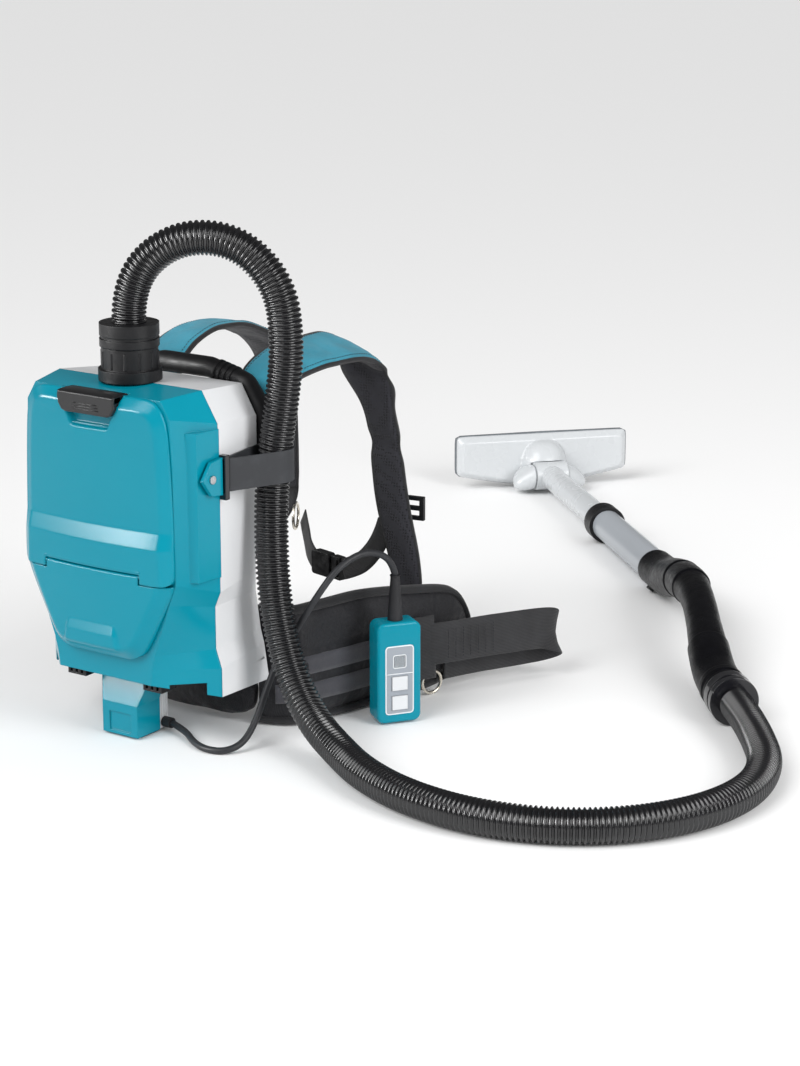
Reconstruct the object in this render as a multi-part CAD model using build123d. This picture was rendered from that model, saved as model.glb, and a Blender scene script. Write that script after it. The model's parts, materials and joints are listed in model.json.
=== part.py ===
"""Cordless backpack vacuum cleaner: casing, harness, hose, wand, nozzle and corded remote switch.

Millimetres.  +X is the wearer's right, +Y points from the casing to the wearer, +Z is up.
The origin is the middle of the underside of the foot below the battery post.
"""
from build123d import *
import math
import os

# ---- driving dimensions -------------------------------------------------------------------
WALL = 3.0                # casing wall
GAP = 0.3                 # gap between fixed shells
RUN = 0.05                # radial clearance of a running fit

FRONT_Y = -45.0           # front plane of the teal housing, behind the lid
SPLIT_Y = 5.0             # plane between the teal front housing and the white rear housing
REAR_Y = 84.0             # back plane of the casing
FLOOR_IN_Z = 76.0         # inside floor of the casing
BAY_TOP_Z = 72.0          # roof of the battery bay
BAY_HALF_W = 100.0
BAY_FRONT_Y = -32.0
BAY_REAR_Y = 81.0

# half width and height of the casing outline, from the top corner to the bottom corner
FRONT_OUTLINE = [(80, 366), (91, 348), (94, 300), (95, 182), (86, 160), (66, 104), (62, 88), (60, 72)]
SPLIT_OUTLINE = [(92, 369), (111, 338), (111, 300), (111, 166), (104, 150), (104, 106), (111, 86), (111, 56)]
REAR_OUTLINE = [(80, 361), (98, 330), (98, 300), (94.5, 168), (94, 146), (100, 106), (104, 92), (110, 54)]

LID_BACK_Y = -46.0
LID_FACE_Y = -66.0
LID_BOTTOM_Z = 194.8
LID_CROWN_R = 620.0
LID_BACK = [(80, 366.5), (92, 348), (95.5, 300), (96.5, LID_BOTTOM_Z)]
LID_FACE = [(74, 361), (84, 343), (87, 300), (88, LID_BOTTOM_Z)]
COVER_TOP_Z = 193.0
COVER_BACK = [(96, COVER_TOP_Z), (96, 181), (87, 160), (57, 105), (49, 97)]
COVER_FACE = [(88, COVER_TOP_Z), (88, 179), (80, 158), (51, 108), (44, 102)]
HINGE_Y = -60.0
HINGE_Z = 194.0
HINGE_LUG_R = 3.0
HINGE_PIN_R = 1.5
LATCH_HALF_W = 36.0
LATCH_PIVOT = (-51.0, 361.0)

INLET_Y = 7.0             # the hose inlet stands on the centre line, above this depth
INLET_TOP_Z = 403.0
CUFF_Z0 = 403.6
CUFF_Z1 = 427.0
POST_HALF_W = 23.0

CORE_Y = 42.0             # axis of the motor and fan
FAN_Z = 152.0

HOSE_D = 35.0
CABLE_D = 7.0

WAND_START = Vector(193, 754, 24.5)      # where the wand pipe leaves the grip
WAND_DIR = Vector(-0.735, 0.678, 0).normalized()
NOZZLE_DIR = Vector(0.678, 0.735, 0).normalized()
OUTER_PIPE_L = 222.0
OUTER_PIPE_R = 19.5
INNER_PIPE_R = 16.25
NECK_AT = 478.0           # distance along the wand to the nozzle's swivel axis
NOZZLE_W = 244.0
NOZZLE_H = 74.0
NOZZLE_DEPTH = 28.0

BOX_W, BOX_D, BOX_H = 48.0, 27.0, 108.0
BOX_CENTRE = Vector(203, 177, 56)
BOX_YAW = 55.0            # turn of the switch box about Z, its panel facing -Y at zero

PARTS = {}


# ---- shape helpers ------------------------------------------------------------------------
def block(x0, x1, y0, y1, z0, z1):
    """Box between two corners."""
    return Pos((x0 + x1) / 2, (y0 + y1) / 2, (z0 + z1) / 2) * Box(x1 - x0, y1 - y0, z1 - z0)


def rod(start, end, radius):
    """Cylinder between two points."""
    start, end = Vector(*start), Vector(*end)
    axis = end - start
    base = Plane(start, z_dir=axis)
    return base * Cylinder(radius, axis.length, align=(Align.CENTER, Align.CENTER, Align.MIN))


def tube(start, end, outer, inner):
    """Straight pipe between two points."""
    return rod(start, end, outer) - rod(start, end, inner)


def section(outline, y, inset=0.0):
    """Face of a left-right symmetric outline in the XZ plane, drawn in by inset."""
    top = outline[0][1] - inset
    bottom = outline[-1][1] + inset
    right = [(w - inset, y, min(max(z, bottom), top)) for w, z in outline]
    left = [(-x, depth, z) for x, depth, z in reversed(right)]
    return make_face(Polyline(*right, *left, close=True))


def between(outline_a, y_a, outline_b, y_b, inset=0.0):
    """Straight-sided body between two outlines of equal point count."""
    return loft([section(outline_a, y_a, inset), section(outline_b, y_b, inset)], ruled=True)


def raised(outline, bottom_z):
    """The same outline with its lowest corner lifted to an inside floor."""
    return [(w, max(z, bottom_z)) for w, z in outline[:-1]] + [(outline[-1][0], bottom_z)]


def strap(edges, thickness):
    """Flat band through pairs of edge points, (inner, outer), one pair per station."""
    mids = [(Vector(*a) + Vector(*b)) * 0.5 for a, b in edges]
    faces = []
    for i, (a, b) in enumerate(edges):
        across = Vector(*b) - Vector(*a)
        ahead = mids[min(i + 1, len(mids) - 1)] - mids[max(i - 1, 0)]
        normal = across.cross(ahead)
        plane = Plane(mids[i], x_dir=across, z_dir=across.cross(normal))
        faces.append(plane * Rectangle(across.length, thickness))
    return loft(faces, ruled=True)


def corner_radii(points):
    """Largest arc each corner of a cord's route has room for."""
    radii = []
    for a, b, c in zip(points, points[1:], points[2:]):
        one, two = Vector(*b) - Vector(*a), Vector(*c) - Vector(*b)
        half_turn = math.radians(one.get_angle(two)) / 2
        radii.append(0.45 * min(one.length, two.length) / math.tan(half_turn))
    return radii


def cord(name, points, diameter):
    """Round cord along straight runs joined by tangent arcs."""
    radii = corner_radii(points)
    path = FilletPolyline(*points, radius=radii)
    start = Plane(path @ 0, z_dir=path % 0)
    solid = sweep(start * Circle(diameter / 2), path=path)
    ideal = math.pi * diameter ** 2 / 4 * path.length
    runs = [(Vector(*b) - Vector(*a)).length for a, b in zip(points, points[1:])]
    print(name, "length %.0f" % path.length, "volume ratio %.4f" % (solid.volume / ideal))
    print("  radii", [round(r) for r in radii], "runs", [round(r) for r in runs])
    return solid


def keep(name, shape):
    """Record one sub-part under its node name."""
    PARTS[name] = shape


# ---- casing -------------------------------------------------------------------------------
def front_housing():
    """Teal front shell with the opening behind the lid and the front of the battery bay."""
    inner_front = raised(FRONT_OUTLINE, FLOOR_IN_Z - WALL)
    inner_split = raised(SPLIT_OUTLINE, FLOOR_IN_Z - WALL)
    shell = between(FRONT_OUTLINE, FRONT_Y, SPLIT_OUTLINE, SPLIT_Y)
    shell -= between(inner_front, FRONT_Y + WALL, inner_split, SPLIT_Y + 0.1, WALL)
    shell -= block(-76, 76, FRONT_Y - 1, FRONT_Y + WALL + 1, 206, 345)
    shell -= block(-BAY_HALF_W, BAY_HALF_W, BAY_FRONT_Y, SPLIT_Y + 1, 40, BAY_TOP_Z)
    shell -= block(-LATCH_HALF_W - 1.5, LATCH_HALF_W + 1.5, FRONT_Y - 1, -37.5, 352, 380)
    shell += block(-LATCH_HALF_W - 3, LATCH_HALF_W + 3, FRONT_Y, -35, 349, 352)
    shell += block(-LATCH_HALF_W - 3, LATCH_HALF_W + 3, -37.5, -35, 349, 364)
    for side in (-1, 1):
        pad = [(side * x, y) for x, y in ((98, -30), (109, -26), (112.5, 5), (109, 5))]
        shell += Pos(0, 0, 182) * extrude(make_face(Polyline(*pad, close=True)), amount=151)
    shell -= rod((0, INLET_Y, 350), (0, INLET_Y, 380), 23)
    shell -= rod((100, -13, 286), (120, -13, 286), 2.3)
    return shell


def rear_housing():
    """White rear shell: it carries the motor, the back of the bay and the side guards."""
    y0 = SPLIT_Y + GAP
    inner_split = raised(SPLIT_OUTLINE, FLOOR_IN_Z - WALL)
    inner_rear = raised(REAR_OUTLINE, FLOOR_IN_Z - WALL)
    shell = between(SPLIT_OUTLINE, y0, REAR_OUTLINE, REAR_Y)
    shell -= between(inner_split, y0 - 0.1, inner_rear, REAR_Y - WALL, WALL)
    shell -= block(-BAY_HALF_W, BAY_HALF_W, y0 - 1, BAY_REAR_Y, 40, BAY_TOP_Z)
    shell -= rod((0, INLET_Y, 350), (0, INLET_Y, 380), 23)
    for row in range(6):
        shell -= block(-120, -80, 40, 70, 110 + 9 * row, 114 + 9 * row)
    return shell


def lid_shell(outline_back, outline_face, inset):
    """Body of the lid, crowned across the front, before its cut-outs."""
    y_face = LID_FACE_Y + inset
    body = between(outline_back, LID_BACK_Y, outline_face, y_face - 4, inset)
    crown = rod((0, y_face + LID_CROWN_R, 100), (0, y_face + LID_CROWN_R, 400), LID_CROWN_R)
    return body & crown


def dust_lid():
    """Front lid over the dust chamber, with the recess for its latch and two hinge lugs."""
    shell = lid_shell(LID_BACK, LID_FACE, 0) - lid_shell(LID_BACK, LID_FACE, WALL)
    lower_band = [(-72, 180), (-72, 236), (-66, 236), (-56.5, LID_BOTTOM_Z), (-56.5, 180)]
    wedge = make_face(Polyline(*[(-120, y, z) for y, z in lower_band], close=True))
    shell -= extrude(wedge, amount=240, dir=(1, 0, 0))
    band_wall = [(-66, 236), (-56.5, LID_BOTTOM_Z), (-52, LID_BOTTOM_Z), (-60, 236)]
    wall = make_face(Polyline(*[(-84, y, z) for y, z in band_wall], close=True))
    shell += extrude(wall, amount=168, dir=(1, 0, 0))
    shell += block(-LATCH_HALF_W - 5, LATCH_HALF_W + 5, -62, LID_BACK_Y, 333, 363)
    shell -= block(-LATCH_HALF_W - 1, LATCH_HALF_W + 1, -75, -49, 349, 380)
    shell -= block(-LATCH_HALF_W - 1, LATCH_HALF_W + 1, -50, -40, 356, 380)
    shell -= block(-29, 29, -75, -56, 336, 350)
    pivot_y, pivot_z = LATCH_PIVOT
    shell -= rod((-42, pivot_y, pivot_z), (42, pivot_y, pivot_z), 1.5)
    for side in (-1, 1):
        low, high = sorted((side * 39, side * 63))
        shell -= block(low, high, -75, -55.5, 180, 198)
        low, high = sorted((side * 46, side * 56))
        shell += block(low, high, -61, -55, 194, 200)
        shell += rod((low, HINGE_Y, HINGE_Z), (high, HINGE_Y, HINGE_Z), HINGE_LUG_R)
        shell -= rod((low - 1, HINGE_Y, HINGE_Z), (high + 1, HINGE_Y, HINGE_Z), HINGE_PIN_R + RUN)
    return shell


def lid_latch():
    """Lever that locks the lid: finger skirt in front, tongue over the housing behind."""
    y, z = LATCH_PIVOT
    lever = block(-LATCH_HALF_W, LATCH_HALF_W, -61, -38.5, 359, 366)
    lever += block(-LATCH_HALF_W, LATCH_HALF_W, -61, -57, 350, 362)
    lever = fillet(lever.edges().filter_by(Axis.X).group_by(Axis.Z)[-1], 2.5)
    lever -= block(-24, 24, -56, -44, 364.6, 367)
    return lever - rod((-40, y, z), (40, y, z), 1.5 + RUN)


def latch_pin():
    """Steel pivot of the latch, held in the sides of the lid's recess."""
    y, z = LATCH_PIVOT
    return rod((-40.5, y, z), (40.5, y, z), 1.5)


def lower_front_cover():
    """Shield-shaped cover below the lid, with the two fixed lugs of each lid hinge."""
    cover = between(COVER_BACK, FRONT_Y - GAP, COVER_FACE, -61)
    crown = rod((0, -62 + LID_CROWN_R, 80), (0, -62 + LID_CROWN_R, 220), LID_CROWN_R)
    cover &= crown
    cover += block(-26, 26, -63.2, -58, 121, 134)
    for side in (-1, 1):
        low, high = sorted((side * 39.4, side * 62.6))
        cover -= block(low, high, -70, -55, 189.5, 200)
        for inner in (40.0, 56.4):
            low, high = sorted((side * inner, side * (inner + 5.6)))
            cover += block(low, high, -61.5, -56, 188, 193)
            cover += rod((low, HINGE_Y, HINGE_Z), (high, HINGE_Y, HINGE_Z), HINGE_LUG_R)
            cover -= rod((low - 1, HINGE_Y, HINGE_Z), (high + 1, HINGE_Y, HINGE_Z), HINGE_PIN_R)
    return cover


def lid_hinge_pins():
    """The two short pins the lid turns on."""
    pins = [rod((side * 40, HINGE_Y, HINGE_Z), (side * 62, HINGE_Y, HINGE_Z), HINGE_PIN_R)
            for side in (-1, 1)]
    return Compound(children=pins)


def lid_gasket():
    """Flat rubber seal round the dust chamber's opening."""
    y0, y1 = FRONT_Y - 0.65, FRONT_Y - 0.02
    return block(-81, 81, y0, y1, 201, 347.5) - block(-77, 77, y0 - 1, y1 + 1, 206, 344)


def battery_post():
    """Post between the two battery bays: a forward block below a flared neck."""
    low = block(-POST_HALF_W, POST_HALF_W, -24, 12, 2.3, 36)
    low -= block(-14, 14, -26, -22.5, 6, 26)
    neck_low = make_face(Polyline((-23, -24, 36), (23, -24, 36), (23, 12, 36), (-23, 12, 36), close=True))
    neck_top = make_face(Polyline((-31, -14, 62), (31, -14, 62), (31, 12, 62), (-31, 12, 62), close=True))
    neck = loft([neck_low, neck_top], ruled=True)
    return low + neck + block(-31, 31, -14, 12, 62, BAY_TOP_Z - 0.05)


def post_rear_strip():
    """White back of the post, with the hole the switch cable's gland sits in."""
    strip = block(-22, 22, 12.2, 26, 2.3, BAY_TOP_Z - 0.05)
    for row in range(3):
        strip -= block(21.2, 23, 15 + 4 * row, 16.4 + 4 * row, 14, 70)
    return strip - rod((10, 19, 9), (23, 19, 9), 4.6)


def battery_terminals():
    """Two battery connectors under the roof of the bay, one for each battery."""
    blocks = []
    for side in (-1, 1):
        low, high = sorted((side * 38, side * 62))
        body = block(low, high, -31, -8, 60, BAY_TOP_Z - 0.05)
        for slot in range(3):
            body -= block(side * 50 - 9 + 7 * slot, side * 50 - 6 + 7 * slot, -32, -14, 62, 68)
        blocks.append(body)
    return Compound(children=blocks)


def foot_pad():
    """Rubber pad that the unit stands on."""
    pad = block(-20, 20, -18, 18, 0, 2.2)
    return chamfer(pad.edges().filter_by(Axis.Z), 4)


def inlet_socket():
    """Base ring and barrel that the hose cuff plugs into, with a spout down to the bag."""
    base = rod((0, INLET_Y, 369.5), (0, INLET_Y, 381), 32)
    barrel = rod((0, INLET_Y, 380), (0, INLET_Y, INLET_TOP_Z), 28.5)
    spout = rod((0, INLET_Y, 344), (0, INLET_Y, 372), 22.5)
    body = base + barrel + spout - rod((0, INLET_Y, 340), (0, INLET_Y, 410), 20.55)
    for turn in range(12):
        angle = math.radians(30 * turn)
        x, y = 28.3 * math.cos(angle), INLET_Y + 28.3 * math.sin(angle)
        body += rod((x, y, 383), (x, y, 399), 1.3)
    return body


def inlet_cuff():
    """Hose cuff: it turns in the socket."""
    ring = rod((0, INLET_Y, CUFF_Z0), (0, INLET_Y, CUFF_Z1), 30)
    ring -= rod((0, INLET_Y, CUFF_Z0 + 8), (0, INLET_Y, CUFF_Z0 + 11), 31) \
        - rod((0, INLET_Y, CUFF_Z0 + 7), (0, INLET_Y, CUFF_Z0 + 12), 28.6)
    spigot = rod((0, INLET_Y, 384), (0, INLET_Y, CUFF_Z0 + 1), 20.5)
    return ring + spigot - rod((0, INLET_Y, 380), (0, INLET_Y, 420), 14)


def bag_holder():
    """Plate at the mouth of the dust bag."""
    return block(-60, 60, -38, 44, 338, 341) - rod((0, INLET_Y, 330), (0, INLET_Y, 345), 20)


def dust_bag():
    """Filter bag below its holder."""
    bag = block(-70, 70, -38, 14, 212, 337.5)
    bag = fillet(bag.edges(), 14)
    return bag - rod((0, INLET_Y, 320), (0, INLET_Y, 345), 20) - block(-80, 80, 14, 40, 320, 345)


def chamber_divider():
    """Shelf between the dust chamber above and the motor below."""
    shelf = block(-88, 88, -40, 3, 184, 187)
    return shelf - rod((0, -18, 180), (0, -18, 190), 14)


def hepa_filter():
    """Pleated filter behind the bag."""
    core = block(-62, 62, 20, 44, 200, 325)
    for pleat in range(15):
        x = -58 + 8 * pleat
        core -= block(x, x + 4, 16, 26, 206, 319)
    return core


def motor_body():
    """Motor can with its terminal nose."""
    can = rod((0, CORE_Y, 88), (0, CORE_Y, FAN_Z - 4), 36)
    return can + rod((0, CORE_Y, 82), (0, CORE_Y, 88), 14) - rod((0, CORE_Y, 100), (0, CORE_Y, 160), 4.05)


def fan_impeller():
    """Fan with backswept blades on the motor's shaft."""
    disc = rod((0, CORE_Y, FAN_Z), (0, CORE_Y, FAN_Z + 3), 36)
    hub = rod((0, CORE_Y, FAN_Z), (0, CORE_Y, FAN_Z + 16), 9)
    shaft = rod((0, CORE_Y, 105), (0, CORE_Y, FAN_Z + 2), 4)
    fan = disc + hub + shaft
    blade = Pos(21, 0, FAN_Z + 8) * Rot(0, 0, 28) * Box(26, 2, 12)
    for turn in range(9):
        fan += Pos(0, CORE_Y, 0) * Rot(0, 0, 40 * turn) * blade
    return fan


def control_board():
    """Circuit board with its heat sink and capacitors."""
    board = block(-55, 55, -30, -28.4, 84, 150)
    board += block(-40, 0, -28.5, -18, 95, 140)
    for cap in range(3):
        board += rod((15 + 14 * cap, -28.5, 100), (15 + 14 * cap, -12, 100), 5)
    return board


def housing_screws():
    """Screws that close the rear housing, seen on its back."""
    screws = []
    for x, z in ((-78, 330), (78, 330), (-86, 100), (86, 100)):
        head = rod((x, REAR_Y + 0.05, z), (x, REAR_Y + 2, z), 4)
        screws.append(head - rod((x, REAR_Y + 1, z), (x, REAR_Y + 3, z), 1.8))
    return Compound(children=screws)


def hose_clip_bracket():
    """Six-sided lug on the side of the housing that holds the hose band."""
    corners = [(-26, 286), (-13, 303), (4, 305), (4, 267), (-13, 269)]
    lug = make_face(Polyline(*[(112.8, y, z) for y, z in corners], close=True))
    body = extrude(lug, amount=4.5, dir=(1, 0, 0))
    return body - rod((105, -13, 286), (120, -13, 286), 2.3)


def clip_screw():
    """Screw of the bracket."""
    return rod((104, -13, 286), (117.4, -13, 286), 2.2) + rod((117.35, -13, 286), (119.2, -13, 286), 4.2)


def clip_buckle():
    """Slide that the band is threaded through."""
    body = block(112.9, 120.5, 4.4, 10.6, 262, 307)
    return body - block(111, 118.6, 4, 8.8, 268.5, 303.5)


def hose_clip_band():
    """Rubber band from the buckle round the hose."""
    def loop(shrink):
        hose_end = Pos(125, 76) * Circle(20.9 - shrink)
        buckle_end = Pos(116.4, 15.5) * Circle(4.4 - shrink)
        return make_hull([*hose_end.edges(), *buckle_end.edges()])
    return Pos(0, 0, 269.5) * extrude(loop(0) - loop(2.4), amount=33)


def carry_handle():
    """Carrying handle over the back of the casing."""
    points = [(-97, 97.5, 296), (-95, 97.5, 332), (-76, 97.5, 358), (-30, 97.5, 369),
              (30, 97.5, 369), (76, 97.5, 358), (95, 97.5, 332), (97, 97.5, 296)]
    path = FilletPolyline(*points, radius=14)
    start = Plane(path @ 0, z_dir=path % 0)
    bar = sweep(start * Circle(10.8), path=path)
    for rib in range(4):
        x = 40 + 6.5 * rib
        z = 366.6 - 1.55 * rib
        bar += rod((x, 97.5, z), (x + 2.6, 97.5, z - 0.6), 12.1)
    return bar


# ---- harness ------------------------------------------------------------------------------
def back_plate():
    """Frame between the casing and the wearer's back."""
    plate = block(-86, 86, 86.4, 92, 138, 322)
    plate = fillet(plate.edges().filter_by(Axis.Y), 18)
    for row in range(3):
        plate -= block(-50, 50, 80, 100, 165 + 48 * row, 190 + 48 * row)
    return plate


def back_pad():
    """Padding against the wearer's back."""
    pad = block(-80, 80, 92.4, 108, 142, 318)
    pad = fillet(pad.edges().filter_by(Axis.Y), 20)
    return fillet(pad.faces().sort_by(Axis.Y)[-1].edges(), 5)


RIGHT_STRAP = [((47, 121, 322), (99, 117, 318)), ((46, 125, 358), (100, 119, 345)),
               ((48, 165, 380), (105, 152, 356)), ((50, 226, 383), (108, 200, 361)),
               ((48, 264, 380), (110, 262, 357)), ((44, 289, 366), (113, 294, 341)),
               ((51, 296, 334), (117, 303, 318)), ((76, 297, 300), (117, 303, 296)),
               ((82, 303, 266), (123, 306, 262)), ((89, 298, 232), (131, 302, 226)),
               ((99, 291, 196), (141, 298, 188)), ((113, 288, 154), (153, 294, 150)),
               ((124, 286, 120), (159, 292, 117)), ((132, 284, 92), (160, 289, 90))]
LEFT_STRAP = [((-24, 116, 322), (-82, 111, 318)), ((-24, 121, 362), (-84, 114, 352)),
              ((-24, 160, 386), (-86, 160, 377)), ((-24, 215, 389), (-88, 215, 382)),
              ((-26, 262, 375), (-90, 270, 371)), ((-28, 305, 352), (-92, 312, 348)),
              ((-34, 330, 318), (-92, 337, 314)), ((-42, 340, 270), (-88, 347, 266)),
              ((-46, 347, 220), (-86, 352, 216)), ((-50, 352, 178), (-84, 356, 174))]
STRAP_THICKNESS = 11.0


def strap_tails():
    """Webbing that runs from each padded strap down to the belt."""
    right = strap([((108, 303.5, 176), (134, 308.5, 174)), ((132, 299, 60), (158, 303, 60))], 2.4)
    left = strap([((-54, 360, 168), (-80, 363, 166)), ((-120, 345, 70), (-146, 342, 70))], 2.4)
    return Compound(children=[right, left])


def ladder_lock(centre, across):
    """Strap adjuster: a flat frame with a cross bar, lying across the webbing."""
    plane = Plane(Vector(*centre), x_dir=Vector(*across), z_dir=Vector(*across).cross(Vector(0, 0, 1)))
    frame = plane * Box(44, 26, 5)
    for low in (-5.5, 5.5):
        frame -= plane * Pos(0, low, 0) * Box(34, 6.5, 8)
    return frame


def strap_adjusters():
    """One adjuster at the lower end of each shoulder strap."""
    right = ladder_lock((126, 309, 190), (0.98, 0.18, 0))
    left = ladder_lock((-100, 361, 118), (0.97, 0.24, 0))
    return Compound(children=[right, left])


def chest_webbings():
    """Webbing of the two sides of the chest strap, from its rings to its buckle."""
    left = strap([((-62, 371, 128), (-50, 371, 146)), ((-30, 350, 102), (-22, 349, 124)),
                  ((-10, 323, 94), (-8, 323, 117))], 2.0)
    right = strap([((43, 309, 95), (43, 309, 117)), ((78, 298, 112), (74, 299, 133)),
                   ((102, 291, 150), (97, 291, 172))], 2.0)
    return Compound(children=[left, right])


def chest_buckle_female():
    """Open half of the chest buckle, with a bay for the prongs."""
    plane = Plane(Vector(9, 318, 106), x_dir=Vector(0.97, -0.24, 0), z_dir=Vector(0.24, 0.97, 0))
    body = plane * fillet(Box(30, 27, 10).edges().filter_by(Axis.Z), 4)
    return body - plane * Pos(8, 0, 0) * Box(24, 19, 5.4)


def chest_buckle_male():
    """Pronged half of the chest buckle."""
    plane = Plane(Vector(30, 313, 106), x_dir=Vector(0.97, -0.24, 0), z_dir=Vector(0.24, 0.97, 0))
    body = plane * Pos(4, 0, 0) * Box(14, 26, 9)
    body += plane * Pos(-10, 5.5, 0) * Box(18, 4, 4.4)
    body += plane * Pos(-10, -5.5, 0) * Box(18, 4, 4.4)
    return body - plane * Pos(7, 0, 0) * Box(4, 20, 12)


BELT_RIGHT = [((101, 93), (0, 130)), ((124, 104), (0, 131)), ((138, 140), (0, 132)), ((152, 192), (0, 132)),
              ((172, 256), (2, 124)), ((183, 306), (10, 112)), ((186, 342), (26, 86))]
BELT_THICKNESS = 17.0


def belt_wing(side):
    """Padded hip wing that stands on its lower edge."""
    edges = []
    for (x, y), (low, high) in BELT_RIGHT:
        edges.append(((side * x, y, low + 0.4), (side * x, y, high)))
    return strap(edges, BELT_THICKNESS)


def belt_centre_pad():
    """Middle of the hip belt, leaning out under the casing."""
    edges = [((x, 79, 2.4), (x, 112, 126)) for x in (-92, 0, 92)]
    return strap(edges, 14.0)


def waist_webbings():
    """Wide webbing of the waist closure: folded back on itself at the right, one tail at the left."""
    def loop(shrink):
        far_end = Pos(243, 374) * Circle(14 - shrink)
        near_end = Pos(197, 262) * Circle(4.5 - shrink)
        return make_hull([*far_end.edges(), *near_end.edges()])
    right = Pos(0, 0, 27) * extrude(loop(0) - loop(2.6), amount=48)
    left = strap([((-198, 250, 34), (-198, 250, 84)), ((-205, 320, 34), (-205, 320, 84)),
                  ((-214, 372, 34), (-214, 372, 84))], 2.6)
    return Compound(children=[*right.solids(), left])


def ring(centre, normal, radius, wire):
    """Round wire ring."""
    return Plane(Vector(*centre), z_dir=Vector(*normal)) * Torus(radius, wire)


def harness_rings():
    """Metal rings: one on the right wing of the belt and one for the left end of the chest strap."""
    belt = ring((187.8, 268, 14.4), (0.94, -0.34, 0), 12.3, 1.7)
    left = ring((-66, 367.5, 138), (0.9, 0.43, 0), 15, 1.7)
    return Compound(children=[belt, left])


# ---- hose ---------------------------------------------------------------------------------
HOSE_ROUTE = [(0, 7, 427.3), (0, 7, 469), (40, 29, 512), (94, 59, 512), (132, 80, 469), (139, 84, 408),
              (132, 80, 340), (124, 75, 276), (126, 69, 214), (135, 61, 155), (150, 56, 103),
              (171, 50, 63), (202, 40, 34), (244, 22, 20), (294, -10, 18), (362, -38, 18), (440, -46, 18),
              (514, -26, 18), (576, 20, 18), (616, 88, 18), (625, 164, 18), (604, 236, 18),
              (565, 292, 20), (527, 334, 26.5), (503.2, 359.8, 26.5)]
HOSE_END = Vector(503, 360, 26.5)
GRIP_AXIS = (Vector(503, 360, 26.5) - Vector(527, 334, 26.5)).normalized()

CABLE_ROUTE = [(33, 19, 9), (54, 15, 6), (80, -4, 3.9), (104, -13, 3.9), (123, -6, 3.9), (131, 13, 9),
               (131, 34, 27), (128, 54, 52), (131, 72, 82), (147, 85, 116), (166, 92, 150), (179, 110, 178),
               (189, 138, 189), (198, 160, 184), (202.5, 173, 171), (203, 177, 158)]


# ---- wand ---------------------------------------------------------------------------------
def along(distance, side=0.0, up=0.0):
    """Point on the wand's axis, moved across towards the nozzle's end or up."""
    point = WAND_START + WAND_DIR * distance + NOZZLE_DIR * side
    return (point.X, point.Y, point.Z + up)


def behind(distance):
    """Point on the axis of the hose's end, past the cord."""
    point = HOSE_END + GRIP_AXIS * distance
    return (point.X, point.Y, point.Z)


def wand_cuff():
    """Turning cuff at the wand end of the hose."""
    body = rod(behind(0), behind(26), 26)
    groove = rod(behind(9), behind(13), 27) - rod(behind(8), behind(14), 24)
    spigot = rod(behind(25), behind(44), 17)
    return body - groove + spigot - rod(behind(6), behind(50), 13)


GRIP_ROUTE = [behind(26.6), behind(70), (432, 440, 38), (392, 500, 52), (348, 566, 62), (300, 630, 58),
              (250, 690, 40), along(-40), along(0)]


def grip_handle():
    """Bent hand grip between the hose and the wand."""
    path = FilletPolyline(*GRIP_ROUTE, radius=[r * 0.8 for r in corner_radii(GRIP_ROUTE)])
    start = Plane(path @ 0, z_dir=path % 0)
    outer = sweep(start * Circle(20), path=path)
    inner = sweep(start * Circle(14), path=path)
    body = outer + rod(behind(26.6), behind(66), 24.5)
    body -= inner
    body -= rod(behind(20), behind(46), 17.05)
    body -= rod(along(-30), along(5), OUTER_PIPE_R + 0.02)
    collar = tube(along(-40), along(8), 23.5, OUTER_PIPE_R + 0.02)
    body += collar
    return body - rod(under_grip(16), under_grip(30), 5.05)


def under_grip(radius):
    """Point on the release button's axis, at a distance from the wand's axis."""
    return along(-16, -0.6 * radius, -0.8 * radius)


def grip_release_button():
    """Button under the grip that lets the wand go."""
    return rod(under_grip(21.2), under_grip(25.4), 5)


def outer_pipe():
    """Outer pipe of the telescopic wand."""
    return tube(along(-30), along(OUTER_PIPE_L), OUTER_PIPE_R, INNER_PIPE_R + RUN + 0.05)


def lock_collar():
    """Turning collar that locks the two pipes together."""
    body = tube(along(OUTER_PIPE_L - 14), along(OUTER_PIPE_L + 10), 24, OUTER_PIPE_R + RUN)
    mouth = tube(along(OUTER_PIPE_L + 0.4), along(OUTER_PIPE_L + 10), 22, INNER_PIPE_R + 0.35)
    return body + mouth


def inner_pipe():
    """Inner pipe: it slides in the outer pipe and ends in the nozzle's swivel barrel."""
    pipe = tube(along(OUTER_PIPE_L - 60), along(NECK_AT - 12), INNER_PIPE_R, INNER_PIPE_R - 1.8)
    barrel = rod(along(NECK_AT, -22), along(NECK_AT, 22), 19)
    pins = rod(along(NECK_AT, -27), along(NECK_AT, 27), 5)
    return pipe + barrel + pins - rod(along(NECK_AT - 40), along(NECK_AT + 2), INNER_PIPE_R - 4)


def nozzle_box(start, end, half_w, low, high):
    """Straight box square to the wand, between two distances along it."""
    base = Plane(Vector(*along(start, 0, (low + high) / 2)), x_dir=NOZZLE_DIR, z_dir=WAND_DIR)
    size = Box(2 * half_w, high - low, end - start, align=(Align.CENTER, Align.CENTER, Align.MIN))
    return base * size


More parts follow.
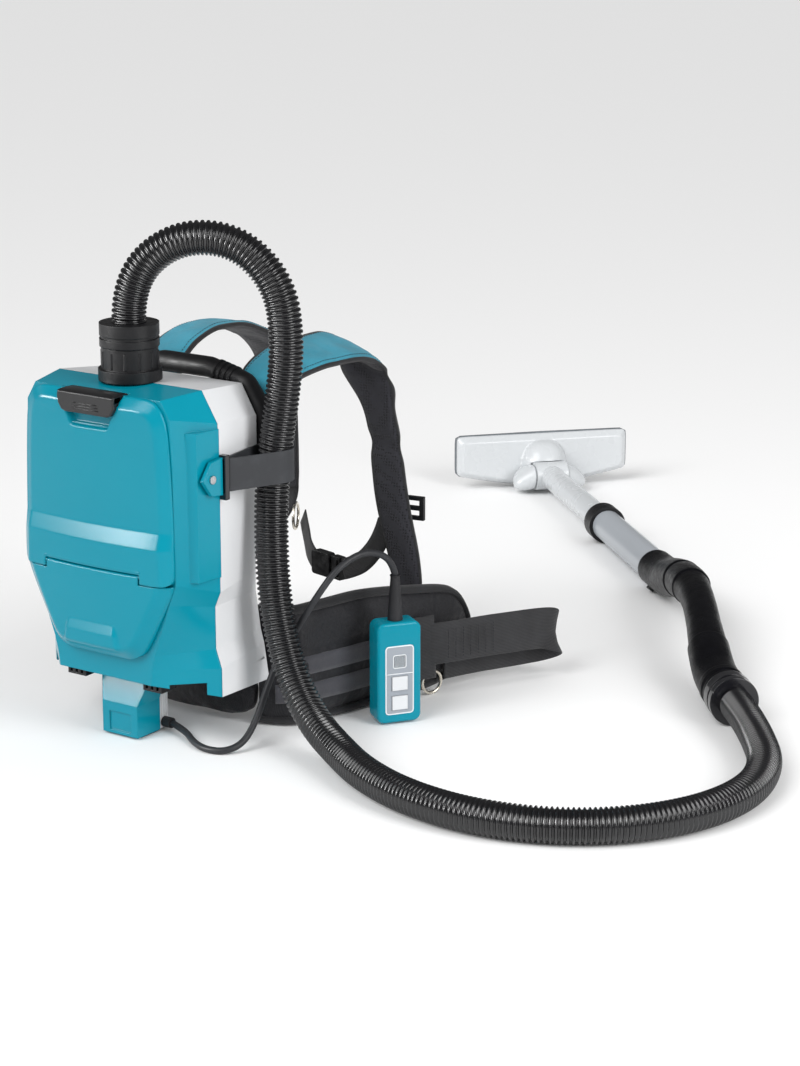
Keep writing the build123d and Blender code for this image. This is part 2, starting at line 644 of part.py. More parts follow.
def nozzle_body():
    """Nozzle hood with the two ears that hold the swivel barrel."""
    low = 0.5 - 24.5
    high = low + NOZZLE_H
    hood = nozzle_box(NECK_AT + 21, NECK_AT + 21 + NOZZLE_DEPTH, NOZZLE_W / 2, low, high)
    hood = chamfer(hood.edges().group_by(Axis((0, 0, 0), tuple(WAND_DIR)))[0], 6)
    hood -= nozzle_box(NECK_AT + 25, NECK_AT + 60, NOZZLE_W / 2 - 6, low + 9, high - 9)
    hood -= nozzle_box(NECK_AT + 15, NECK_AT + 30, 16, -12, 12)
    for side in (-1, 1):
        inner, outer = side * 22.4, side * 28
        ear = rod(along(NECK_AT, inner), along(NECK_AT, outer), 16)
        web = nozzle_box(NECK_AT, NECK_AT + 26, 2.8, -16, 16)
        offset = NOZZLE_DIR * (side * 25.2)
        hood += ear + Pos(offset.X, offset.Y, 0) * web
        hood -= rod(along(NECK_AT, side * 22), along(NECK_AT, side * 29), 5 + RUN)
    return hood


def nozzle_lip():
    """Grey rubber rim round the nozzle's mouth."""
    low = 0.5 - 24.5
    start = NECK_AT + 21 + NOZZLE_DEPTH + 0.02
    rim = nozzle_box(start, start + 5, NOZZLE_W / 2, low, low + NOZZLE_H)
    return rim - nozzle_box(start - 1, start + 7, NOZZLE_W / 2 - 6, low + 9, low + NOZZLE_H - 9)


# ---- remote switch ------------------------------------------------------------------------
def on_box(shape):
    """Place a shape drawn about the switch box, panel towards -Y, at its real place."""
    return Pos(BOX_CENTRE) * Rot(0, 0, BOX_YAW) * shape


def box_shell(y0, y1):
    """Rounded slab of the switch box between two depths."""
    outline = RectangleRounded(BOX_W, BOX_H, 8)
    return Plane((0, y1, 0), x_dir=(1, 0, 0), z_dir=(0, -1, 0)) * extrude(outline, amount=y1 - y0)


def switch_case_front():
    """Front half of the switch box, with the window for the panel."""
    half = box_shell(-BOX_D / 2, 0)
    half = fillet(half.faces().sort_by(Axis.Y)[0].edges(), 3)
    half -= box_shell(-BOX_D / 2 + 2.5, 1) & block(-21, 21, -20, 2, -51, 51)
    half -= block(-15, 15, -20, -BOX_D / 2 + 1.2, -44, 29)
    for z in (-32, -11):
        half -= block(-9.3, 9.3, -20, 0, z - 8.3, z + 8.3)
    return on_box(half)


def switch_case_back():
    """Back half of the switch box."""
    half = box_shell(GAP, BOX_D / 2)
    half = fillet(half.faces().sort_by(Axis.Y)[-1].edges(), 3)
    half -= block(-21.5, 21.5, 0, BOX_D / 2 - 2.5, -51.5, 51.5)
    return on_box(half)


def switch_panel():
    """Grey front plate with holes for the two buttons."""
    y0 = -BOX_D / 2
    plate = block(-14.8, 14.8, y0 - 0.4, y0 + 1.1, -43.8, 28.8)
    for z in (-32, -11):
        plate -= block(-8.9, 8.9, y0 - 2, y0 + 2, z - 7.9, z + 7.9)
    plate -= block(-6, 6, y0 - 2, y0 + 2, 6.5, 18.5)
    return on_box(plate)


def panel_button(z):
    """Square push button in the panel."""
    y0 = -BOX_D / 2
    return on_box(block(-8.4, 8.4, y0 - 1.6, y0 + 3.6, z - 7.4, z + 7.4))


def indicator_lens():
    """Clear window of the battery and filter light."""
    y0 = -BOX_D / 2
    return on_box(block(-5.9, 5.9, y0 - 0.8, y0 + 1.1, 6.6, 18.4))


def switch_strain_relief():
    """Tapered sleeve where the cable enters the box."""
    x, y = BOX_CENTRE.X, BOX_CENTRE.Y
    cone = Pos(x, y, 134) * Cone(8, 4.6, 47.4)
    collar = rod((x, y, 157), (x, y, 158), 5.4)
    return cone + collar


def belt_clip():
    """Spring clip on the back of the box."""
    y0 = BOX_D / 2
    clip = block(-14, 14, y0 + 0.05, y0 + 2.2, 10, 46)
    clip += block(-14, 14, y0 + 0.05, y0 + 10, 43, 46)
    clip += block(-14, 14, y0 + 7.8, y0 + 10, -24, 46)
    return on_box(clip)


def cable_gland():
    """Grommet where the cable leaves the foot of the post."""
    return rod((12, 19, 9), (24, 19, 9), 4.6) + rod((23.05, 19, 9), (33, 19, 9), 5.6)


# ---- build and write ----------------------------------------------------------------------
def build_all():
    """Make every sub-part."""
    keep("front_housing", front_housing())
    keep("rear_housing", rear_housing())
    keep("dust_lid", dust_lid())
    keep("lid_latch", lid_latch())
    keep("latch_pin", latch_pin())
    keep("lower_front_cover", lower_front_cover())
    keep("lid_hinge_pins", lid_hinge_pins())
    keep("lid_gasket", lid_gasket())
    keep("battery_post", battery_post())
    keep("post_rear_strip", post_rear_strip())
    keep("battery_terminals", battery_terminals())
    keep("foot_pad", foot_pad())
    keep("inlet_socket", inlet_socket())
    keep("inlet_cuff", inlet_cuff())
    keep("bag_holder", bag_holder())
    keep("dust_bag", dust_bag())
    keep("chamber_divider", chamber_divider())
    keep("hepa_filter", hepa_filter())
    keep("motor_body", motor_body())
    keep("fan_impeller", fan_impeller())
    keep("control_board", control_board())
    keep("housing_screws", housing_screws())
    keep("hose_clip_bracket", hose_clip_bracket())
    keep("clip_screw", clip_screw())
    keep("clip_buckle", clip_buckle())
    keep("hose_clip_band", hose_clip_band())
    keep("carry_handle", carry_handle())
    keep("back_plate", back_plate())
    keep("back_pad", back_pad())
    keep("shoulder_strap_right", strap(RIGHT_STRAP, STRAP_THICKNESS))
    keep("shoulder_strap_left", strap(LEFT_STRAP, STRAP_THICKNESS))
    keep("strap_tails", strap_tails())
    keep("strap_adjusters", strap_adjusters())
    keep("chest_webbings", chest_webbings())
    keep("chest_buckle_female", chest_buckle_female())
    keep("chest_buckle_male", chest_buckle_male())
    keep("belt_centre_pad", belt_centre_pad())
    keep("belt_wing_right", belt_wing(1))
    keep("belt_wing_left", belt_wing(-1))
    keep("waist_webbings", waist_webbings())
    keep("harness_rings", harness_rings())
    keep("suction_hose", cord("hose", HOSE_ROUTE, HOSE_D))
    keep("switch_cable", cord("cable", CABLE_ROUTE, CABLE_D))
    keep("cable_gland", cable_gland())
    keep("wand_cuff", wand_cuff())
    keep("grip_handle", grip_handle())
    keep("grip_release_button", grip_release_button())
    keep("outer_pipe", outer_pipe())
    keep("lock_collar", lock_collar())
    keep("inner_pipe", inner_pipe())
    keep("nozzle_body", nozzle_body())
    keep("nozzle_lip", nozzle_lip())
    keep("switch_case_front", switch_case_front())
    keep("switch_case_back", switch_case_back())
    keep("switch_panel", switch_panel())
    keep("power_button", panel_button(-32))
    keep("mode_button", panel_button(-11))
    keep("indicator_lens", indicator_lens())
    keep("switch_strain_relief", switch_strain_relief())
    keep("belt_clip", belt_clip())


build_all()
os.makedirs("parts", exist_ok=True)
for node, shape in PARTS.items():
    export_step(shape, f"parts/{node}.step")
print(len(PARTS), "parts")
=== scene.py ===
"""Looks of the backpack vacuum cleaner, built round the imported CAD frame.  Metres."""
import json
import math
import bmesh
import bpy
from mathutils import Matrix, Vector, noise


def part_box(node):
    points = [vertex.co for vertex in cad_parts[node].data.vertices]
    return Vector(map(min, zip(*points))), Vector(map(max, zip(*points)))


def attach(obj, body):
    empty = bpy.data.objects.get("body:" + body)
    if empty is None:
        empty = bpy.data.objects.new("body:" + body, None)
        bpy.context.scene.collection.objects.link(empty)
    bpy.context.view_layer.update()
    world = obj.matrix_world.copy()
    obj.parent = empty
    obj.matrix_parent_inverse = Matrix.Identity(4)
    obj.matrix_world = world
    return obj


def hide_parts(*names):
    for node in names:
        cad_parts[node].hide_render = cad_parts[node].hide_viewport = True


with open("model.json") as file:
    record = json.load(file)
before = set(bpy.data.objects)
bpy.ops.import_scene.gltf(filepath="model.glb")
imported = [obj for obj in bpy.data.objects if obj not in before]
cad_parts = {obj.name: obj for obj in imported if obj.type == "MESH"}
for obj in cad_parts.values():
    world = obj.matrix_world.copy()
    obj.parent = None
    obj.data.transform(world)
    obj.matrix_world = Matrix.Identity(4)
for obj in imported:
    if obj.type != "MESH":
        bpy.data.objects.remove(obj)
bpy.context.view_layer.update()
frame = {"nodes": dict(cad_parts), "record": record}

NODES = frame["nodes"]
ROOT = "casing"
BOX_YAW = math.radians(55)      # turn of the switch box about Z
BOX_AT = (0.203, 0.177)         # its middle, seen from above
BOX_FRONT = 13.5                # from its middle to its panel, in millimetres
WAND_DIR = Vector((-0.735, 0.678, 0)).normalized()
NOZZLE_DIR = Vector((0.678, 0.735, 0)).normalized()
WAND_START = Vector((0.193, 0.754, 0.0245))
HOSE_D = 0.035
CABLE_D = 0.007
WORLD_LIGHT = 0.52              # strength of the surroundings
WORLD_REFLECTED = 0.13          # the surroundings as polished surfaces mirror them


# ---- camera, light and floor --------------------------------------------------------------
def new_object(name, data):
    """Object that holds some data, put in the scene."""
    obj = bpy.data.objects.new(name, data)
    bpy.context.collection.objects.link(obj)
    return obj


def make_camera():
    """Camera at the photograph's viewing angle."""
    data = bpy.data.cameras.new("camera")
    data.lens = 89.87
    data.sensor_width = 36
    data.clip_end = 100
    camera = new_object("camera", data)
    camera.location = (1.694, -1.9833, 0.9256)
    camera.rotation_euler = (math.radians(74.6), 0, math.radians(34.5))
    bpy.context.scene.camera = camera


def area_light(name, place, aim, size, power):
    """Soft rectangular lamp pointed at a place."""
    data = bpy.data.lights.new(name, "AREA")
    data.shape = "RECTANGLE"
    data.size, data.size_y = size
    data.energy = power
    lamp = new_object(name, data)
    lamp.location = place
    lamp.rotation_euler = (Vector(aim) - Vector(place)).to_track_quat("-Z", "Y").to_euler()
    return lamp


def make_studio():
    """Pale floor and surroundings, a wide soft sun, two lamps and one that only shows as a highlight."""
    scene = bpy.context.scene
    scene.view_settings.view_transform = "Standard"
    world = bpy.data.worlds.new("studio")
    scene.world = world
    world.use_nodes = True
    back = world.node_tree.nodes["Background"]
    back.inputs["Color"].default_value = (1.0, 1.0, 1.0, 1)
    tree = world.node_tree
    rays = tree.nodes.new("ShaderNodeLightPath")
    dim = tree.nodes.new("ShaderNodeMapRange")
    dim.inputs["To Min"].default_value = WORLD_LIGHT
    dim.inputs["To Max"].default_value = WORLD_REFLECTED
    tree.links.new(rays.outputs["Is Glossy Ray"], dim.inputs["Value"])
    tree.links.new(dim.outputs["Result"], back.inputs["Strength"])
    data = bpy.data.lights.new("sun", "SUN")
    data.energy = 1.65
    data.angle = math.radians(40)
    new_object("sun", data).rotation_euler = (math.radians(48), 0, math.radians(-12))
    area_light("key", (-1.1, -2.2, 2.0), (0.1, 0.1, 0.2), (1.2, 1.6), 12)
    area_light("side", (2.6, -0.1, 1.3), (0.2, 0.2, 0.15), (1.2, 1.8), 50)
    strip = area_light("strip", (-1.65, -1.8, 0.92), (0.0, 0.0, 0.22), (1.7, 0.45), 90)
    strip.visible_diffuse = False
    mesh = bpy.data.meshes.new("floor")
    mesh.from_pydata([(-30, -30, 0), (30, -30, 0), (30, 30, 0), (-30, 30, 0)], [], [(0, 1, 2, 3)])
    floor = new_object("floor", mesh)
    floor.data.materials.append(make_material("floor_paint", (0.93, 0.93, 0.93), 0.75))


# ---- material helpers ---------------------------------------------------------------------
def make_material(name, color, roughness, **sockets):
    """Principled material; sockets are named with _ for a space."""
    mat = bpy.data.materials.new(name)
    mat.use_nodes = True
    shader = mat.node_tree.nodes["Principled BSDF"]
    shader.inputs["Base Color"].default_value = (*color, 1)
    shader.inputs["Roughness"].default_value = roughness
    for key, value in sockets.items():
        shader.inputs[key.replace("_", " ")].default_value = value
    return mat


def node(mat, kind, inputs=None, **properties):
    """New shader node; inputs are values or sockets by name or number."""
    made = mat.node_tree.nodes.new("ShaderNode" + kind)
    for key, value in properties.items():
        setattr(made, key, value)
    for key, value in (inputs or {}).items():
        if isinstance(value, bpy.types.NodeSocket):
            mat.node_tree.links.new(value, made.inputs[key])
        else:
            made.inputs[key].default_value = value
    return made


def shader_of(mat):
    """The material's Principled shader."""
    return mat.node_tree.nodes["Principled BSDF"]


def place(mat, source="Object"):
    """Coordinates in metres: the object's own, or the strip's (along, across)."""
    return node(mat, "TexCoord").outputs[source]


def noise_at(mat, scale, detail=3.0, source="Object"):
    """Noise of the given number of cells per metre, 0 to 1."""
    made = node(mat, "TexNoise", {"Vector": place(mat, source), "Scale": scale, "Detail": detail})
    return made.outputs["Fac"]


def bands(mat, pitch, axis="X", source="Object", turn=0.0):
    """Sine bands across an axis, one every pitch metres; turn is the axis's turn about Z."""
    spot = node(mat, "Mapping", {"Vector": place(mat, source), "Rotation": (0, 0, turn)}).outputs[0]
    made = node(mat, "TexWave", {"Vector": spot, "Scale": math.pi / (10 * pitch)}, bands_direction=axis)
    return made.outputs["Fac"]


def ramp(mat, value, low, high, to_low=0.0, to_high=1.0):
    """Value rescaled from one range to another, held at the ends."""
    made = node(mat, "MapRange", {"Value": value, "From Min": low, "From Max": high,
                                  "To Min": to_low, "To Max": to_high})
    return made.outputs["Result"]


def combine(mat, kind, a, b):
    """Math on two values."""
    return node(mat, "Math", {0: a, 1: b}, operation=kind).outputs[0]


def paint(mat, amount, color_a, color_b):
    """Base colour between two colours, by amount."""
    made = node(mat, "Mix", {"Factor": amount}, data_type="RGBA")
    for socket, color in zip([s for s in made.inputs if s.type == "RGBA"], (color_a, color_b)):
        socket.default_value = (*color, 1)
    result = [s for s in made.outputs if s.type == "RGBA"][0]
    mat.node_tree.links.new(result, shader_of(mat).inputs["Base Color"])


def rough(mat, amount, low, high):
    """Roughness between two values, by amount."""
    mat.node_tree.links.new(ramp(mat, amount, 0.3, 0.7, low, high), shader_of(mat).inputs["Roughness"])


def relief(mat, height, depth, edge=0.0):
    """Bump of a depth in metres, on top of what the material has; edge rounds sharp corners."""
    inputs = {"Height": height, "Distance": depth, "Strength": 1.0}
    normal = shader_of(mat).inputs["Normal"]
    if normal.is_linked:
        inputs["Normal"] = normal.links[0].from_socket
    elif edge:
        inputs["Normal"] = node(mat, "Bevel", {"Radius": edge}, samples=6).outputs[0]
    mat.node_tree.links.new(node(mat, "Bump", inputs).outputs[0], normal)


def shade(color, factor):
    """Colour made darker or lighter."""
    return tuple(min(1.0, c * factor) for c in color)


# ---- materials ----------------------------------------------------------------------------
def moulded_plastic(name, color, roughness, edge=0.0016, grain=0.00001, worn=None, spec=0.45, coat=0.12):
    """Moulded plastic: soft edges, faint texture, handling marks and slightly worn corners."""
    mat = make_material(name, color, roughness, Coat_Weight=coat, Coat_Roughness=0.12,
                        Specular_IOR_Level=spec)
    marks = ramp(mat, noise_at(mat, 12, 2), 0.35, 0.75)
    amount = combine(mat, "MULTIPLY", marks, 0.12)
    if edge:
        soft = node(mat, "Bevel", {"Radius": edge}, samples=6).outputs[0]
        hard = node(mat, "NewGeometry").outputs["Normal"]
        turn = node(mat, "VectorMath", {0: soft, 1: hard}, operation="DOT_PRODUCT").outputs["Value"]
        amount = combine(mat, "ADD", amount, combine(mat, "MULTIPLY", ramp(mat, turn, 0.97, 0.80), 0.4))
    paint(mat, amount, color, worn or shade(color, 1.18))
    rough(mat, noise_at(mat, 40, 2), roughness * 0.98, roughness * 1.04)
    relief(mat, noise_at(mat, 900, 1), grain, edge)
    return mat


def textured_plastic(name, color, roughness=0.45, spec=0.3):
    """Black plastic with a spark-eroded texture."""
    mat = make_material(name, color, roughness, Specular_IOR_Level=spec)
    paint(mat, ramp(mat, noise_at(mat, 70, 4), 0.4, 0.75), color, shade(color, 1.5))
    rough(mat, noise_at(mat, 130, 4), roughness * 0.8, roughness * 1.3)
    relief(mat, noise_at(mat, 1600, 2), 0.00012, 0.0012)
    return mat


def moulded_rubber(name, color, roughness=0.6, spec=0.35, grain=0.00008, edge=0.0008):
    """Rubber, with a faint bloom."""
    mat = make_material(name, color, roughness, Specular_IOR_Level=spec)
    paint(mat, ramp(mat, noise_at(mat, 40, 4), 0.45, 0.8), color, shade(color, 1.6))
    relief(mat, noise_at(mat, 700, 3), grain, edge)
    return mat


def plated_metal(name, color, roughness):
    """Metal with drawn marks along it."""
    mat = make_material(name, color, roughness, Metallic=1.0)
    rough(mat, noise_at(mat, 260, 6), roughness * 0.7, roughness * 1.5)
    relief(mat, noise_at(mat, 1200, 2), 0.00002, 0.0006)
    return mat


def woven(name, color, pitch=0.0011, roughness=0.85, sheen=0.25, source="UV", depth=0.00022,
          wrinkle=0.0009):
    """Plain-woven nylon: threads over and under each way, uneven in tone."""
    mat = make_material(name, color, roughness, Sheen_Weight=sheen, Sheen_Roughness=0.5,
                        Specular_IOR_Level=0.3)
    across = "Y" if source == "UV" else "Z"
    slant = math.pi / 4 if across == "Z" else 0
    threads = combine(mat, "MULTIPLY", bands(mat, pitch, "X", source, slant),
                      bands(mat, pitch, across, source))
    tone = combine(mat, "ADD", combine(mat, "MULTIPLY", threads, 0.6),
                   combine(mat, "MULTIPLY", ramp(mat, noise_at(mat, 22, 5), 0.3, 0.75), 0.5))
    paint(mat, tone, shade(color, 0.62), shade(color, 1.45))
    relief(mat, threads, depth)
    relief(mat, noise_at(mat, 60, 4), wrinkle)
    return mat


def spacer_mesh(name, color):
    """Knitted spacer mesh: rows of small round openings."""
    mat = make_material(name, color, 0.9, Sheen_Weight=0.2, Specular_IOR_Level=0.25)
    cells = node(mat, "TexVoronoi", {"Vector": place(mat), "Scale": 330.0, "Randomness": 0.25})
    hole = ramp(mat, cells.outputs["Distance"], 0.18, 0.42)
    paint(mat, hole, shade(color, 0.25), shade(color, 1.7))
    relief(mat, hole, 0.0005)
    return mat


def ribbed_webbing(name, color, pitch=0.0016):
    """Webbing: chevron ribs along the strip."""
    mat = make_material(name, color, 0.7, Sheen_Weight=0.15, Specular_IOR_Level=0.4)
    ribs = combine(mat, "MULTIPLY", bands(mat, pitch, "Y", "UV"),
                   ramp(mat, bands(mat, 0.0012, "X", "UV"), 0, 1, 0.6, 1))
    tone = combine(mat, "ADD", combine(mat, "MULTIPLY", ribs, 0.7),
                   combine(mat, "MULTIPLY", ramp(mat, noise_at(mat, 35, 4), 0.35, 0.7), 0.4))
    paint(mat, tone, shade(color, 0.5), shade(color, 1.8))
    relief(mat, ribs, 0.0003)
    return mat


def filter_paper(name, color):
    """Non-woven filter media."""
    mat = make_material(name, color, 0.95)
    paint(mat, ramp(mat, noise_at(mat, 300, 6), 0.3, 0.7), shade(color, 0.75), color)
    relief(mat, noise_at(mat, 500, 4), 0.0003)
    return mat


def clear_lens(name, color):
    """Clear window over the indicator."""
    mat = make_material(name, color, 0.08, Transmission_Weight=0.7, Coat_Weight=1.0)
    paint(mat, ramp(mat, noise_at(mat, 200, 2), 0.4, 0.8), color, shade(color, 0.9))
    relief(mat, noise_at(mat, 400, 2), 0.00001, 0.0004)
    return mat


def make_materials():
    """One material for each slot of the record, and those of the pieces made here."""
    recipes = [
        (moulded_plastic, "teal_shell", (0.0, 0.234, 0.322), 0.2,
         {"spec": 0.20, "coat": 0.06, "worn": (0.01, 0.30, 0.39)}),
        (moulded_plastic, "white_shell", (0.74, 0.75, 0.765), 0.3, {"worn": (0.70, 0.71, 0.725)}),
        (moulded_plastic, "pipe_plastic", (0.39, 0.415, 0.445), 0.24,
         {"edge": 0, "worn": (0.35, 0.37, 0.40)}),
        (moulded_plastic, "nozzle_plastic", (0.58, 0.60, 0.615), 0.27,
         {"edge": 0, "grain": 0.000002, "worn": (0.56, 0.585, 0.605)}),
        (moulded_plastic, "grey_panel", (0.30, 0.33, 0.37), 0.42,
         {"edge": 0.0005, "worn": (0.36, 0.39, 0.43)}),
        (moulded_plastic, "white_button", (0.66, 0.68, 0.70), 0.5,
         {"edge": 0.001, "worn": (0.6, 0.6, 0.6)}),
        (moulded_plastic, "panel_edge", (0.75, 0.78, 0.80), 0.45, {"edge": 0.0004}),
        (moulded_plastic, "board", (0.02, 0.18, 0.07), 0.5, {"edge": 0.0004}),
        (textured_plastic, "black_plastic", (0.007, 0.007, 0.008), 0.4, {}),
        (textured_plastic, "grip_plastic", (0.003, 0.003, 0.004), 0.33, {"spec": 0.1}),
        (moulded_plastic, "latch_plastic", (0.010, 0.010, 0.011), 0.3,
         {"edge": 0.0012, "worn": (0.025, 0.025, 0.027), "spec": 0.35}),
        (moulded_plastic, "gloss_black", (0.008, 0.008, 0.010), 0.16,
         {"edge": 0.0015, "worn": (0.02, 0.02, 0.023)}),
        (moulded_rubber, "rubber", (0.016, 0.016, 0.018), 0.55, {}),
        (moulded_rubber, "band_rubber", (0.03, 0.032, 0.036), 0.6, {}),
        (moulded_rubber, "hose_rubber", (0.005, 0.005, 0.006), 0.24,
         {"spec": 0.7, "grain": 0.000004, "edge": 0}),
        (moulded_rubber, "cable_rubber", (0.022, 0.023, 0.026), 0.45, {}),
        (moulded_rubber, "lip_rubber", (0.14, 0.155, 0.17), 0.6, {}),
        (plated_metal, "steel", (0.55, 0.55, 0.56), 0.32, {}),
        (plated_metal, "ring_metal", (0.74, 0.69, 0.60), 0.25, {}),
        (woven, "teal_fabric", (0.030, 0.255, 0.355), 0.0011, {"sheen": 0.12}),
        (woven, "black_fabric", (0.012, 0.012, 0.015), 0.0011, {"sheen": 0.1}),
        (woven, "pad_fabric", (0.011, 0.011, 0.014), 0.0008,
         {"source": "Object", "sheen": 0.1, "roughness": 0.5, "wrinkle": 0.0035}),
        (woven, "satin_fabric", (0.045, 0.045, 0.056), 0.0008, {"roughness": 0.5, "sheen": 0.4}),
        (ribbed_webbing, "binding", (0.010, 0.010, 0.012), 0.0011, {}),
        (ribbed_webbing, "webbing", (0.019, 0.019, 0.021), 0.0016, {}),
        (ribbed_webbing, "hook_tape", (0.035, 0.036, 0.04), 0.0022, {}),
        (woven, "thread", (0.03, 0.03, 0.034), 0.0006, {"source": "Object", "sheen": 0.0}),
    ]
    made = {name: kind(name, color, value, **rest) for kind, name, color, value, rest in recipes}
    made["spacer_mesh"] = spacer_mesh("spacer_mesh", (0.018, 0.018, 0.022))
    made["bag_paper"] = filter_paper("bag_paper", (0.75, 0.70, 0.6))
    made["lens"] = clear_lens("lens", (0.62, 0.66, 0.70))
    return made


def dress_cad(materials):
    """Give each CAD node the finish of its slot."""
    for sub in frame["record"]["subparts"]:
        mesh = NODES[sub["node"]].data
        mesh.materials.clear()
        mesh.materials.append(materials[sub["material_slot"]])
    for name, finish in (("hose_clip_band", "band_rubber"), ("lid_hinge_pins", "teal_shell"),
                         ("inner_pipe", "nozzle_plastic"), ("wand_cuff", "gloss_black"),
                         ("clip_buckle", "gloss_black")):
        NODES[name].data.materials[0] = materials[finish]


# ---- mesh helpers -------------------------------------------------------------------------
def add_piece(name, mesh, body, finishes, replaced=()):
    """Put a mesh in the scene as a piece that rides on a body."""
    obj = new_object(name, mesh)
    for finish in finishes:
        mesh.materials.append(MATERIALS[finish])
    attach(obj, body)
    if replaced:
        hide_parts(*replaced)
    return obj


def skin(name, rings, finish_of=None, closed=True, caps=True):
    """Mesh over rings of points; finish_of(ring, side) picks the material number.

    caps closes both ends, or with "first" only the first.  The UV map holds metres along and round.
    """
    count = len(rings[0])
    sides = count if closed else count - 1
    verts = [tuple(p) for r in rings for p in r]
    faces = []
    for i in range(len(rings) - 1):
        for j in range(sides):
            k = (j + 1) % count
            faces.append((i * count + j, i * count + k, (i + 1) * count + k, (i + 1) * count + j))
    ends = []
    if caps:
        ends.append(tuple(reversed(range(count))))
    if caps is True:
        ends.append(tuple((len(rings) - 1) * count + j for j in range(count)))
    mesh = bpy.data.meshes.new(name)
    mesh.from_pydata(verts, [], faces + ends)
    mesh.update()
    along = [0.0]
    for a, b in zip(rings, rings[1:]):
        middle_a = sum((Vector(p) for p in a), Vector()) / count
        middle_b = sum((Vector(p) for p in b), Vector()) / count
        along.append(along[-1] + (middle_b - middle_a).length)
    around = [0.0]
    first = rings[len(rings) // 2]
    for j in range(sides):
        around.append(around[-1] + (Vector(first[(j + 1) % count]) - Vector(first[j])).length)
    uv = mesh.uv_layers.new(name="UVMap")
    for number, face in enumerate(mesh.polygons[:len(faces)]):
        i, j = divmod(number, sides)
        face.use_smooth = True
        if finish_of:
            face.material_index = finish_of(i, j)
        corners = ((i, j), (i, j + 1), (i + 1, j + 1), (i + 1, j))
        for loop, (row, column) in zip(face.loop_indices, corners):
            uv.data[loop].uv = (along[row], around[column])
    return mesh


def nurbs_curve(name, points, closeness):
    """Curve that holds one NURBS spline with these control points."""
    data = bpy.data.curves.new(name, "CURVE")
    data.dimensions = "3D"
    spline = data.splines.new("NURBS")
    spline.points.add(len(points) - 1)
    for target, point in zip(spline.points, points):
        target.co = (*point, 1)
    spline.order_u = 3
    spline.use_endpoint_u = True
    data.resolution_u = closeness
    return data


def curve_through(points, closeness):
    """Points read from the NURBS spline that has these control points."""
    obj = bpy.data.objects.new("route", nurbs_curve("route", points, closeness))
    mesh = bpy.data.meshes.new_from_object(obj)
    line = [Vector(v.co) for v in mesh.vertices]
    bpy.data.objects.remove(obj)
    return line


def resample(line, step):
    """The same line with points about step apart."""
    lengths = [0.0]
    for a, b in zip(line, line[1:]):
        lengths.append(lengths[-1] + (b - a).length)
    count = max(2, round(lengths[-1] / step))
    points, at = [], 0
    for i in range(count + 1):
        want = lengths[-1] * i / count
        while at < len(line) - 2 and lengths[at + 1] < want:
            at += 1
        part = (want - lengths[at]) / max(1e-9, lengths[at + 1] - lengths[at])
        points.append(line[at].lerp(line[at + 1], min(1.0, part)))
    return points, lengths[-1]


def heading(line, i):
    """Unit vector along a line at one of its points."""
    return (line[min(i + 1, len(line) - 1)] - line[max(i - 1, 0)]).normalized()


def frames_along(points):
    """Unit vectors across the line at each point, turning as little as they can."""
    made = []
    side = None
    for i in range(len(points)):
        ahead = heading(points, i)
        if side is None:
            side = ahead.cross(Vector((0, 0, 1)))
            if side.length < 0.1:
                side = ahead.cross(Vector((0, 1, 0)))
        side = (side - ahead * side.dot(ahead)).normalized()
        made.append((side, ahead.cross(side)))
    return made


def turns(count):
    """Angles evenly round a circle."""
    return [2 * math.pi * j / count for j in range(count)]


def tube_rings(points, radius_at, sides=32, flatten=None):
    """Rings round a line; radius_at(distance) and flatten(distance) shape them."""
    rings, gone = [], 0.0
    for i, (point, (side, up)) in enumerate(zip(points, frames_along(points))):
        if i:
            gone += (point - points[i - 1]).length
        radius = radius_at(gone)
        high = flatten(gone) if flatten else 1.0
        ring = []
        for turn in turns(sides):
            ring.append(point + side * radius * math.cos(turn) + up * radius * high * math.sin(turn))
        rings.append(ring)
    return rings


def along_wand(distance, side=0.0, up=0.0):
    """Point on the wand's axis, moved across or up; metres."""
    return WAND_START + WAND_DIR * distance + NOZZLE_DIR * side + Vector((0, 0, up))


# ---- hose and cable -----------------------------------------------------------------------
HOSE_ROUTE = [(0, 0.007, 0.4273), (0, 0.007, 0.469), (0.040, 0.029, 0.512), (0.094, 0.059, 0.512),
              (0.132, 0.080, 0.469), (0.139, 0.084, 0.408), (0.132, 0.080, 0.340), (0.124, 0.075, 0.276),
              (0.126, 0.069, 0.214), (0.135, 0.061, 0.155), (0.150, 0.056, 0.103), (0.171, 0.050, 0.063),
              (0.202, 0.040, 0.034), (0.244, 0.022, 0.020), (0.294, -0.010, 0.018), (0.362, -0.038, 0.018),
              (0.440, -0.046, 0.018), (0.514, -0.026, 0.018), (0.576, 0.020, 0.018), (0.616, 0.088, 0.018),
              (0.625, 0.164, 0.018), (0.604, 0.236, 0.018), (0.565, 0.292, 0.020), (0.527, 0.334, 0.0265),
              (0.5032, 0.3598, 0.0265)]
CABLE_ROUTE = [(0.033, 0.019, 0.009), (0.054, 0.015, 0.006), (0.080, -0.004, 0.0039),
               (0.104, -0.013, 0.0039), (0.123, -0.006, 0.0039), (0.131, 0.013, 0.009),
               (0.131, 0.034, 0.027), (0.128, 0.054, 0.052), (0.131, 0.072, 0.082), (0.147, 0.085, 0.116),
               (0.166, 0.092, 0.150), (0.179, 0.110, 0.178), (0.189, 0.138, 0.189), (0.198, 0.160, 0.184),
               (0.2025, 0.173, 0.171), (0.203, 0.177, 0.158)]
RIB_PITCH = 0.0051
RIB_STEPS = 6                   # rings of points to a rib
RIB_HALF = 0.0012               # half the height of a rib


